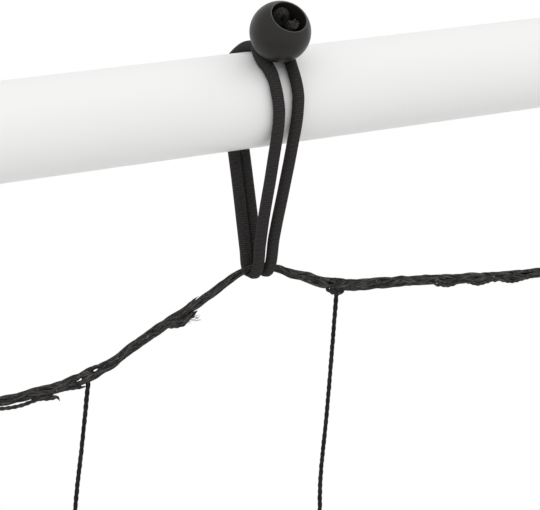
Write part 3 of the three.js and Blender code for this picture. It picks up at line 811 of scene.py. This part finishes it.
def wander(along, swing, chance):
    """Smooth noise between -1 and 1 along a length, a swing apart."""
    marks = chance.uniform(-1, 1, int((along[-1] - along[0]) / swing) + 4)
    place = (along - along[0]) / swing
    before = place.astype(int)
    share = place - before
    share = share * share * (3 - 2 * share)
    return marks[before] * (1 - share) + marks[before + 1] * share


def parted(middle, wide, centre, up, past):
    """A strand pushed aside and narrowed at the pinholes, each given by its place past the tie, its height
    and its size. They lie along the photograph's line of sight."""
    deep = middle[:, 1] - centre[:, 1]
    for place, height, size in PINHOLES:
        near = np.exp(-(((past - place - TOWARDS_LENS * deep) / (1.2 + 0.7 * size)) ** 2))
        offset = ((middle - centre) * up).sum(-1) - height + BELOW_LENS * deep
        wide = wide * (1 - 0.6 * near)
        clear = np.where(near > 0.05, near * (size + wide), 0)
        push = np.where(np.abs(offset) < clear, np.copysign(clear, offset) - offset, 0)
        middle = middle + up * push[:, None]
    return middle, wide


def braided(name, points, reach, side, seed):
    """Eight flat strands round a middle line, four each way, over and under in turn, loosely laid.

    The half-thickness is a number, or for the head rope its places and its values there. The rings are three
    times as close near the photographed tie, and there the head rope has its pinholes."""
    chance = np.random.default_rng(seed)
    centre, along = smooth_route(points, 0.8)
    past = centre[:, 0] - PHOTO_TIE_X * 1000
    kept = (np.arange(len(along)) % 3 == 0) | (np.abs(past) < CLOSE_REACH)
    centre, along, past = centre[kept], along[kept], past[kept]
    photographed = isinstance(reach, tuple)
    half = np.interp(centre[:, 0], *reach) if photographed else reach
    first, second = across(centre, side)
    up = second * math.copysign(1, second[0][2])
    centre = centre + first * (0.25 * wander(along, 19, chance))[:, None]
    centre = centre + second * (0.25 * wander(along, 23, chance))[:, None]
    strands = []
    for lay in (1, -1):
        for j in range(4):
            turns = lay * along / BRAID_PITCH + j / 4 + (lay < 0) / 8
            phase = (2 * math.pi * turns + 0.4 * wander(along, 31, chance))[:, None]
            weave = lay * np.sin(8 * math.pi * along / BRAID_PITCH)
            far = 0.60 + 0.07 * weave + 0.10 * wander(along, 11, chance) + 0.05 * wander(along, 4, chance)
            out = first * np.cos(phase) + second * np.sin(phase)
            beside = second * np.cos(phase) - first * np.sin(phase)
            wide = half * 0.50 * (1 + 0.25 * wander(along, 13, chance))
            thick = half * 0.27 * (1 + 0.25 * wander(along, 7, chance))
            middle = centre + out * (half * far)[:, None]
            if photographed:
                middle, wide = parted(middle, wide, centre, up, past)
            strands.append((ringed(middle, out, beside, 6, thick, wide) * MM, along))
    return skinned(name, strands)


def knot_loop(centre, size, tilt, thick=0.72, turns=1.0, rise=0.0, sides=5, rings=10):
    """A turn of twine or rope round a point, as part of a knot."""
    angles = np.linspace(0, 2 * math.pi * turns, rings)
    flat = np.column_stack([np.cos(angles) * size, np.sin(angles) * size, np.linspace(-rise, rise, rings)])
    tilt = np.array(tilt.to_3x3())
    route = flat @ tilt.T + centre
    first, second = across(route, tilt[:, 2])
    return ringed(route, first, second, sides, thick, thick) * MM, angles * size


def fit_net(piece, *nodes):
    fit(piece, "upper_frame", "net_rope", *nodes)


def border_points(height, xs):
    return [(x * 1000, 0, (RAIL_Z + float(height(x))) * 1000) for x in xs]


def make_border():
    """The four ropes round the net, and the knots in its corners."""
    past = np.array([x for x, _ in PHOTO_SAG[:-1]]) * MM
    xs = np.concatenate([tie + past for tie in TIE_XS])
    xs = np.concatenate([[-NET_HALF], xs[(xs > -NET_HALF + 0.004) & (xs < NET_HALF - 0.004)], [NET_HALF]])
    past, half = np.array(HALF_THICKNESS[:-1]).T
    reach = np.concatenate([tie * 1000 + past for tie in TIE_XS]), np.tile(half, len(TIE_XS))
    fit_net(braided("top_rope", border_points(head_height, xs), reach, (0, 1, 0), 11), "head_rope")
    low = border_points(foot_height, np.linspace(-NET_HALF, NET_HALF, 76))
    fit_net(braided("bottom_rope", low, 2.35, (0, 1, 0), 12), "foot_rope")
    drops = [0.001, *(drop for drop, _ in SIDE_PULL[1:-1]), NET_DROP - 0.001]
    for side, outward in SIDES.items():
        points = [hang_mm(outward * NET_HALF, drop) for drop in drops]
        fit_net(braided(f"edge_rope_{side}", points, 2.25, (0, 1, 0), 13 + outward), f"side_rope_{side}")
    knots = []
    for outward in SIDES.values():
        for drop, inward in ((0, -1), (NET_DROP, 1)):
            corner = hang_mm(outward * NET_HALF, drop) + (-outward, 0, inward)
            for lean, size in ((25, 2.4), (-40, 2.5), (85, 2.2)):
                knots.append(knot_loop(corner, size, turn(lean, "Y") @ turn(62, "X"), 1.6, 1.0, 0.6, 8, 18))
    fit_net(skinned("corner_knots", knots), "head_rope", "foot_rope")


def loose_strand(points, thick):
    """A loose strand or fibre, thin at its ends, through points measured from the photographed tie."""
    route, along = smooth_route([(x + PHOTO_TIE_X * 1000, y, z + RAIL_Z * 1000) for x, y, z in points], 0.7)
    first, second = across(route, (0, 1, 0))
    taper = np.clip(np.minimum(along[-1] - along, along + 0.8) / 2.5, 0.12, 1)
    taper = thick * taper * (1 + 0.15 * np.sin(along * 2.3))
    return ringed(route, first, second, 6, taper, taper) * MM, along


def make_loose_ends():
    """Beside the photographed tie a twine's tail, slack strands and a frayed tuft; elsewhere single frays."""
    tail = [(-119.4, -107.9), (-116.1, -108.4), (-111.8, -108.7), (-107.6, -108.6), (-103.3, -107.9)]
    tail += [(-99.8, -107.5), (-96.8, -108), (-94.2, -108.1), (-92.6, -108), (-91.2, -110)]
    slack = [(89, -89.8), (93, -91.8), (96.9, -91.9), (101.7, -91.2), (106, -92.3), (110.3, -93.8)]
    slack += [(115.1, -93.6), (120.6, -93.1), (125, -94.6), (129.4, -95.6), (134.9, -95.3), (140.4, -95)]
    slack += [(149, -96.2)]
    tuft = [(-46, -86.5), (-41, -86.1), (-37, -86.4), (-33.5, -84.9), (-29.6, -82.9)]
    under = [(-45, -86.7), (-40.5, -87.7), (-36.5, -87.6), (-33, -86.3)]
    strands = [
        loose_strand([(x, -1.5, z) for x, z in tail], 0.75),
        loose_strand([(x, -1.2, z + 0.6) for x, z in tail[4:9]], 0.9),
        loose_strand([(-97, -1.2, -105.6), (-89, -1.5, -105.6), (-84, -1.5, -105.9), (-79, -1, -106.2)], 0.6),
        loose_strand([(-41, -1.2, -83.8), (-37.3, -1.6, -81.9), (-32.5, -1.7, -79), (-28.6, -1.5, -77)], 0.4),
        loose_strand([(x, -2, z) for x, z in tuft], 1.25),
        loose_strand([(x, -1.8, z) for x, z in under], 0.9),
        loose_strand([(x, -1.6, z) for x, z in slack], 0.85),
    ]
    chance = np.random.default_rng(21)
    for _ in range(16):
        x, z = chance.uniform(-37, -30), chance.uniform(-87, -84)
        dx, dz = chance.uniform(1.5, 4.6), chance.uniform(-2.2, 1.0)
        middle = (x + 0.5 * dx, -2.2, z + 0.35 * dz - 0.4)
        strands.append(loose_strand([(x, -2, z), middle, (x + dx, chance.uniform(-3, -1.5), z + dz)], 0.16))
    for x in chance.uniform(-NET_HALF + 0.02, NET_HALF - 0.02, 40):
        if not -0.13 < x - PHOTO_TIE_X < 0.16:
            start = np.array([(x - PHOTO_TIE_X) * 1000, -1.4, float(head_height(x)) * 1000 - 0.8])
            reach, drop = chance.choice((-1, 1)) * chance.uniform(4, 11), chance.uniform(0.8, 2.6)
            route = [start, start + (0.5 * reach, -0.5, -1.2 * drop), start + (reach, 0, -drop - 0.6)]
            strands.append(loose_strand(route, chance.choice((0.2, 0.45, 0.7))))
    fit_net(skinned("loose_strands", strands), "head_rope")


# ---- The net's twines and knots, drawn in millimetres ----
TARRED = 0.75
TWO_PLY_SEEDS = {16: 41, 17: 42}
PHOTO_LEANS = {16: (0.4, -2.0, -4.5, -4.0), 17: (1.7, 1.0, 0.1, -1.2)}
LUMPS = ((-1.9, 0), (0, 0), (1.8, 0))
PHOTO_LUMPS = {16: (), 17: ((-2.2, 0), (-0.3, 0.6), (1.7, 1.1), (3.6, 0.5))}


def fit_twines(name, strands):
    """Makes one piece of the net from twines or knots, darkened with tar."""
    piece = skinned(name, strands)
    mark(piece, "tarred", TARRED)
    fit_net(piece, "net")


def laid_twine(points):
    """A twine of two plies, drawn as one twisted section."""
    route, along = smooth_route(points, 0.9)
    first, second = across(route, (0, 1, 0))
    corners = np.arange(6) * math.pi / 3
    twist = along[:, None] * 2 * math.pi / 10.8 + corners
    far = 0.80 + 0.13 * np.cos(2 * corners)
    rings = route[:, None] + first[:, None] * (far * np.cos(twist))[..., None]
    return (rings + second[:, None] * (far * np.sin(twist))[..., None]) * MM, along


def plied_twine(points, seed):
    """The same twine as its two plies, for the two strings that the photograph shows."""
    route, along = smooth_route(points, 0.6)
    chance = np.random.default_rng(seed)
    first, second = across(route, (0, 1, 0))
    turns = along * 2 * math.pi / 5.9 + 0.8 * wander(along, 17, chance)
    plies = []
    for start in (0, math.pi):
        far = 0.17 + 0.05 * wander(along, 4, chance)
        centre = route + first * (far * np.cos(turns + start))[:, None]
        centre += second * (far * np.sin(turns + start))[:, None]
        size = 0.80 * (1 + 0.07 * wander(along, 2.7, chance))
        plies.append((ringed(centre, first, second, 8, size, size) * MM, along))
    return plies


def column_points(i):
    """A column twine: from the top rope through its knots to the bottom rope, bowing a little between them,
    or leaning as the photograph shows."""
    u = KNOT_XS[i]
    bows = np.random.default_rng(100 + i).uniform(-1.3, 1.3, ROWS)
    points = []
    for k in range(ROWS):
        start, end = hang_mm(u, k * MESH_SIDE), hang_mm(u, (k + 1) * MESH_SIDE)
        leans = PHOTO_LEANS.get(i) if k == 0 else None
        for j, share in enumerate((0, 0.25, 0.5, 0.75)):
            bow = leans[j] if leans else bows[k] * math.sin(math.pi * share)
            x = start[0] + share * (end[0] - start[0]) + bow
            points.append((x, *hang_mm(u, (k + share) * MESH_SIDE)[1:]))
    return points + [hang_mm(u, NET_DROP)]


def row_points(k):
    """A row twine: from side rope to side rope through its knots, sagging a little between them."""
    chance = np.random.default_rng(200 + k)
    points = []
    for i in range(COLUMNS):
        start, end = (hang_mm(u, k * MESH_SIDE) for u in KNOT_XS[i:i + 2])
        sag = chance.uniform(0.4, 2.4)
        for share in (0, 1 / 3, 2 / 3):
            points.append(start + share * (end - start) - (0, 0, sag * math.sin(math.pi * share)))
    return points + [end]


def hitch(centre, direction, reach, chance, lumps=LUMPS):
    """The hitch that ties a twine's end round a border rope, and its knot's lumps on the net's side."""
    about = Vector(direction).to_track_quat("Z", "Y").to_matrix().to_4x4()
    about = about @ turn(chance.uniform(0, 360), "Z")
    inward = np.array((0, 0, -1) if abs(direction[0]) > 0.5 else (-math.copysign(1, centre[0]), 0, 0))
    parts = [knot_loop(centre, reach - 0.95, about, 0.65, 1.9, 1.5, 6, 22)]
    for step, low in lumps:
        tilt = turn(chance.uniform(-30, 30), "Y") @ turn(chance.uniform(50, 110), "X")
        depth = reach + low + chance.uniform(-0.3, 0.4)
        lump = centre + inward * depth + np.array(direction) * step
        parts.append(knot_loop(lump, 1.0, tilt, 0.78, 1.0, 0.3, 6, 12))
    return parts


def make_net():
    chance = np.random.default_rng(5)
    for side, which in (("left", range(1, 13)), ("right", range(13, COLUMNS))):
        plain = [i for i in which if i not in TWO_PLY_SEEDS]
        fit_twines(f"net_columns_{side}", [laid_twine(column_points(i)) for i in plain])
    plies = [ply for i, seed in TWO_PLY_SEEDS.items() for ply in plied_twine(column_points(i), seed)]
    fit_twines("net_columns_photographed", plies)
    for part, which in (("upper", range(1, 5)), ("lower", range(5, ROWS))):
        fit_twines(f"net_rows_{part}", [laid_twine(row_points(k)) for k in which])
    knots, hitches = [], []
    for i in range(1, COLUMNS):
        u = KNOT_XS[i]
        for k in range(1, ROWS):
            for lean in (45, -45):
                tilt = turn(lean + chance.uniform(-12, 12), "Y") @ turn(chance.uniform(-15, 15), "X")
                knots.append(knot_loop(hang_mm(u, k * MESH_SIDE), 1.15, tilt))
        for drop, reach in ((0, 2.5), (NET_DROP, 2.3)):
            slope = np.array(hang(u + 0.002, drop)) - hang(u - 0.002, drop)
            lumps = PHOTO_LUMPS.get(i, LUMPS) if drop == 0 else LUMPS
            hitches += hitch(hang_mm(u, drop), slope / np.linalg.norm(slope), reach, chance, lumps)
    for outward in SIDES.values():
        for k in range(1, ROWS):
            hitches += hitch(hang_mm(outward * NET_HALF, k * MESH_SIDE), (0, 0, 1), 2.2, chance)
    fit_twines("net_knots", knots)
    fit_net(skinned("net_hitches", hitches), "net")


# ---- Feet, sockets and lower tubes ----
BEAD_R, BEAD_RIPPLE = 1.35, 1.5
CAP_R, CAP_BORE, CAP_DEPTH, CAP_FLOOR = 0.023, 0.0194, 0.050, 0.009
BAR_HALF = FOOT_HALF - CAP_FLOOR - 0.001
BAR_CUT_R = TUBE_R + 0.0003


def weld_bead(points, chance):
    """A bead of weld along a joint, rippled, in millimetres."""
    route, along = smooth_route(points, 0.5)
    first, second = carried_across(route, (0.3, 0.2, 1))
    ripple = np.abs(np.sin(math.pi * along / BEAD_RIPPLE))
    radius = BEAD_R * (1 + 0.10 * ripple + 0.10 * wander(along, 4, chance))
    radius[[0, -1]] *= 0.5
    return ringed(route, first, second, 10, radius, radius) * MM, along


def cap_pattern():
    """The cap of a foot bar's end at +Y: three grip grooves, a rounded nose, and its underside flat on the
    ground."""
    mouth, floor, end, ease = FOOT_HALF - CAP_DEPTH, FOOT_HALF - CAP_FLOOR, FOOT_HALF, 0.0004
    outline = [(0, floor), (CAP_BORE, floor), (CAP_BORE, mouth + 0.0006), (CAP_BORE + ease, mouth)]
    outline += [(CAP_R - ease, mouth), (CAP_R, mouth + 0.0006)]
    for past in (0.008, 0.013, 0.018):
        outline += groove(CAP_R, mouth + past, 0.0022, 0.0005)
    outline += quarter_round(CAP_R - 0.005, end - 0.005, 0.005, 0.005, 7)
    cap = turned("cap_pattern", outline + [(0.009, end), (0.0085, end - ease), (0, end - ease)])
    cap.data.transform(Matrix.Translation((0, 0, FOOT_Z)) @ turn(-90, "X"))
    cut_off(cap, (0, 0, 0), (0, 0, -1))
    smooth_over(cap, 35)
    return cap


def gusset_plate():
    """A gusset in front of a sleeve: a plate with its outer corner cut off."""
    plate = slab("gusset_plate", (-0.002, 0.0234, 0.0408), (0.002, 0.110, 0.130))
    cut_off(plate, (0, 0.110, 0.049), (0, 0.081, 0.086))
    soften(plate, 0.0006)
    return plate


def socket_sleeve(side, outward):
    """The upright sleeve, its rim eased, its foot cut to the bar's round, and drilled for the snap button."""
    top = SOCKET_TOP_Z
    outline = [(SOCKET_BORE, FOOT_Z), (SOCKET_R, FOOT_Z), (SOCKET_R, top - 0.0008)]
    outline += [(SOCKET_R - 0.0002, top - 0.0002), (SOCKET_R - 0.0008, top), (SOCKET_BORE + 0.0004, top)]
    sleeve = turned(f"socket_sleeve_{side}", outline + [(SOCKET_BORE, top - 0.0005)], closed=True)
    carve(sleeve, peg("bar_round", BAR_CUT_R, (0, -0.04, FOOT_Z), (0, 0.04, FOOT_Z), 64))
    drill(sleeve, (0, 0, FOOT_BUTTON_Z), (outward * 0.03, 0, FOOT_BUTTON_Z))
    smooth_over(sleeve)
    return sleeve


def bead_routes():
    """Where a socket is welded, in millimetres: round its foot on the bar, and both sides of each gusset."""
    routes = []
    for middle in (90, 270):
        turns = [math.radians(a) for a in range(middle - 50, middle + 51, 10)]
        spots = [(24.5 * math.cos(a), 24.5 * math.sin(a)) for a in turns]
        routes.append([(x, y, 1000 * FOOT_Z + math.sqrt((1000 * BAR_CUT_R) ** 2 - x * x)) for x, y in spots])
    for end in (-1, 1):
        for side in (-2.4, 2.4):
            routes.append([(side, end * y, 41.5) for y in (27, 45, 66, 88, 109)])
            routes.append([(side, end * 24.3, z) for z in (44, 66, 88, 110, 126)])
    return routes


def make_base():
    cap, plate = cap_pattern(), gusset_plate()
    chance = np.random.default_rng(9)
    foot = FOOT_Z + TUBE_R + 0.0005
    for side, outward in SIDES.items():
        pole = Matrix.Translation((outward * POLE_X, 0, 0))
        bar = straight_tube(f"foot_tube_{side}", 2 * BAR_HALF, TUBE_R)
        bar.data.transform(pole @ Matrix.Translation((0, -BAR_HALF, FOOT_Z)) @ turn(-90, "X"))
        smooth_over(bar)
        fit(bar, "base", "white_powder_coat", f"foot_bar_{side}")
        for end, way in (("back", 0), ("front", 180)):
            place = pole @ turn(way, "Z")
            closing = copied(cap, f"end_cap_{side}_{end}", place)
            fit(closing, "base", "black_plastic", f"foot_cap_{side}_{end}")
            gusset = copied(plate, f"gusset_{side}_{end}", place)
            fit(gusset, "base", "white_powder_coat", f"pole_socket_{side}")
        sleeve = socket_sleeve(side, outward)
        beads = skinned(f"weld_beads_{side}", [weld_bead(points, chance) for points in bead_routes()])
        for piece in (sleeve, beads):
            piece.data.transform(pole)
            fit(piece, "base", "white_powder_coat", f"pole_socket_{side}")
        tube = straight_tube(f"lower_tube_{side}", SLEEVE_TOP_Z - foot, LOWER_R)
        tube.data.transform(pole @ Matrix.Translation((0, 0, foot)))
        button = Vector((outward * POLE_X, 0, FOOT_BUTTON_Z))
        drill(tube, button, button + Vector((outward * 0.03, 0, 0)))
        smooth_over(tube)
        fit(tube, "base", "white_powder_coat", f"lower_pole_{side}")
    put_away(cap, plate)


# ---- Lever clamps, drawn for the left pole with z = 0 at the top of its lower tube ----
COLLAR_R, COLLAR_BORE, COLLAR_THROAT = 0.0265, 0.0214, 0.0195
CAM_SPOT = Vector((-0.0176, -0.036, -0.018))
NUT_X, PIN_WAY_R = 0.0093, 0.0024


def upright(name, radius, half, spot=CAM_SPOT, sides=32):
    """A cutter that stands up and down through a spot of the clamp."""
    reach = Vector((0, 0, half))
    return peg(name, radius, spot - reach, spot + reach, sides)


def collar_pattern():
    """The split collar: a ring with a lip over the lower tube's end, and two ears across a slot."""
    foot, lift = -0.042, 0.0005
    outline = [(COLLAR_BORE, foot + 0.0006), (0.0218, foot), (0.026, foot), (COLLAR_R, foot + 0.0006)]
    outline += groove(COLLAR_R, -0.0385, 0.0024, 0.0006) + groove(COLLAR_R, -0.0015, 0.0024, 0.0006)
    outline += quarter_round(0.0235, 0.009, 0.003, 0.003, 6)
    outline += [(0.0199, 0.012), (COLLAR_THROAT, 0.0116), (COLLAR_THROAT, lift), (COLLAR_BORE, lift)]
    collar = turned("collar_pattern", outline, closed=True)
    ears = slab("ears", (-0.009, -0.044, -0.031), (0.009, -0.022, -0.005))
    soften(ears, 0.0022, 3)
    weld(collar, ears)
    carve(collar, peg("bore", COLLAR_BORE, (0, 0, -0.045), (0, 0, lift), 64))
    carve(collar, slab("slot", (-0.00125, -0.050, -0.050), (0.00125, 0, 0.020)))
    carve(collar, peg("bolt_way", 0.0033, (-0.02, *CAM_SPOT.yz), (0.02, *CAM_SPOT.yz)))
    bevel(collar, 0.0003, 1, 50)
    smooth_over(collar, 35)
    return collar


def bolt_pattern():
    """The cross bolt: an eye for the lever's pin, a shank, and a round nut with scallops for the thumb."""
    y, z = CAM_SPOT.yz
    bolt = peg("bolt_pattern", 0.003, (CAM_SPOT.x + 0.003, y, z), (NUT_X + 0.002, y, z))
    eye = turned("eye", disc(0.0054, 0.0032, 0.0004, 0.0004), 40)
    eye.data.transform(Matrix.Translation(CAM_SPOT))
    outline = [(0, 0), (0.0055, 0), (0.0062, 0.001), (0.0074, 0.0016), (0.008, 0.0024), (0.008, 0.0082)]
    nut = turned("nut", outline + [(0.0072, 0.009), (0, 0.009)], 48)
    nut.data.transform(Matrix.Translation((NUT_X, y, z)) @ turn(90, "Y"))
    for dy, dz in 0.0088 * circle(8):
        carve(nut, peg("scallop", 0.0019, (0.0085, y + dy, z + dz), (0.019, y + dy, z + dz), 20))
    weld(bolt, eye, nut)
    carve(bolt, upright("pin_way", PIN_WAY_R, 0.01))
    bevel(bolt, 0.0002, 1, 45)
    smooth_over(bolt, 35)
    return bolt


def lever_pattern():
    """The lever: a curved handle drawn along its route and raised, on a forked cam, with grip grooves at its
    end."""
    route = [(-5, -1, 0), (-9.5, 11, 0), (-13.5, 25, 0), (-14.8, 40, 0), (-14, 56, 0), (-16.5, 66, 0)]
    middle = smooth_route(route, 2.5)[0]
    height = 0.014
    low = CAM_SPOT - Vector((0, 0, height / 2))
    lever = drawn("lever_pattern", [low + Vector(point) * MM for point in middle])
    extrude_by(0, 0, height)
    close_up(lever)
    modify(lever, "SOLIDIFY", thickness=0.004, offset=0)
    bevel(lever, 0.0011, 3, 50)
    cam = turned("cam", disc(0.008, 0.008, 0.0005, 0.0005), 64)
    cam.data.transform(Matrix.Translation(CAM_SPOT))
    weld(lever, cam)
    carve(lever, upright("fork", 0.0086, 0.0036, sides=48))
    carve(lever, upright("pin_way", PIN_WAY_R, 0.01))
    for y in (43, 47, 51, 55):
        x = np.interp(y, middle[:, 1], middle[:, 0]) - 2.15
        carve(lever, upright("groove", 0.0006, 0.0052, CAM_SPOT + Vector((x, y, 0)) * MM, 12))
    smooth_over(lever, 35)
    return lever


def pin_pattern():
    pin = turned("pin_pattern", disc(0.002, 0.0095, 0.0005, 0.0004), 32)
    smooth_over(pin, 35)
    pin.data.transform(Matrix.Translation(CAM_SPOT))
    return pin


def make_clamps():
    collar, bolt, lever, pin = collar_pattern(), bolt_pattern(), lever_pattern(), pin_pattern()
    for side, outward in SIDES.items():
        mirrored = Matrix.Scale(-outward, 4, (1, 0, 0))
        place = Matrix.Translation((outward * POLE_X, 0, SLEEVE_TOP_Z)) @ mirrored
        fit(copied(collar, f"split_collar_{side}", place), "base", "black_plastic", f"clamp_collar_{side}")
        screw = copied(bolt, f"cross_bolt_{side}", place)
        modify(screw, "WEIGHTED_NORMAL", keep_sharp=True)
        fit(screw, "base", "zinc_steel", f"clamp_bolt_{side}")
        fit(copied(pin, f"lever_pin_{side}", place), "base", "zinc_steel", f"clamp_pin_{side}")
        handle = copied(lever, f"cam_lever_{side}", place)
        fit(handle, f"lever_{side}", "black_plastic", f"clamp_lever_{side}")
    put_away(collar, bolt, lever, pin)


# ---- Snap buttons, along +X from inside a bore through the walls ----
NOSE_R, NOSE_RISE, FLANGE_R, LEAF_WIDE = 0.004, 0.0028, 0.006, 0.007


def snap_pattern(name, outer, bore):
    """A round-nosed button, its flange inside the bore, on a leaf bent back on itself."""
    back, nose = bore - 0.004, outer + 0.0045
    outline = [(0, back), (FLANGE_R - 0.0002, back), (FLANGE_R, back + 0.0003), (FLANGE_R, back + 0.0017)]
    outline += [(FLANGE_R - 0.0003, back + 0.002), (NOSE_R, back + 0.002)]
    outline += quarter_round(0, nose - NOSE_RISE, NOSE_R, NOSE_RISE, 8)[:-1]
    button = turned(name, outline + [(0, nose)], 40)
    smooth_over(button, 35)
    button.data.transform(turn(90, "Y"))
    near, far = back * 1000, 9 - bore * 1000
    route = [(near, 0, -6), (near, 0, 6), (near - 2, 0, 22), (4.5, 0, 34), (1.6, 0, 38), (-1.6, 0, 38)]
    middle = smooth_route(route + [(-3.6, 0, 34), (far, 0, 20), (far, 0, 4)], 1.5)[0]
    leaf = drawn("leaf", middle * MM - (0, LEAF_WIDE / 2, 0))
    extrude_by(0, LEAF_WIDE, 0)
    close_up(leaf)
    modify(leaf, "SOLIDIFY", thickness=0.0008, offset=0)
    soften(leaf, 0.0002, 1)
    only(button)
    leaf.select_set(True)
    bpy.ops.object.join()
    return button


def make_snap_buttons():
    in_rail = snap_pattern("rail_snap_pattern", TUBE_R, SPIGOT_R - WALL)
    in_socket = snap_pattern("foot_snap_pattern", SOCKET_R, LOWER_R - WALL)
    forward = turn(90, "X") @ turn(90, "Y")
    snaps = [
        ("corner_left", in_rail, (-CORNER_BUTTON_X, 0, RAIL_Z), forward),
        ("corner_right", in_rail, (CORNER_BUTTON_X, 0, RAIL_Z), forward),
        ("rail", in_rail, (RAIL_BUTTON_X, 0, RAIL_Z), forward),
        ("foot_left", in_socket, (-POLE_X, 0, FOOT_BUTTON_Z), turn(180, "Z")),
        ("foot_right", in_socket, (POLE_X, 0, FOOT_BUTTON_Z), turn(0, "Z")),
    ]
    for joint, pattern, spot, facing in snaps:
        snap = copied(pattern, f"snap_{joint}", Matrix.Translation(spot) @ facing)
        fit(snap, f"button_{joint}", "zinc_steel", f"snap_button_{joint}")
    put_away(in_rail, in_socket)


# ---- Scene ----
bpy.context.scene.view_settings.view_transform = "Standard"
aim_camera()
light_room()
make_rail()
make_corner_poles()
make_base()
make_clamps()
make_snap_buttons()
make_ties()
make_border()
make_loose_ends()
make_net()

only()
bpy.ops.mesh.primitive_circle_add(vertices=128, radius=4.5, fill_type="NGON")
floor = start_piece("pale_floor", editing=False)
floor.data.materials.append(pale_ground())
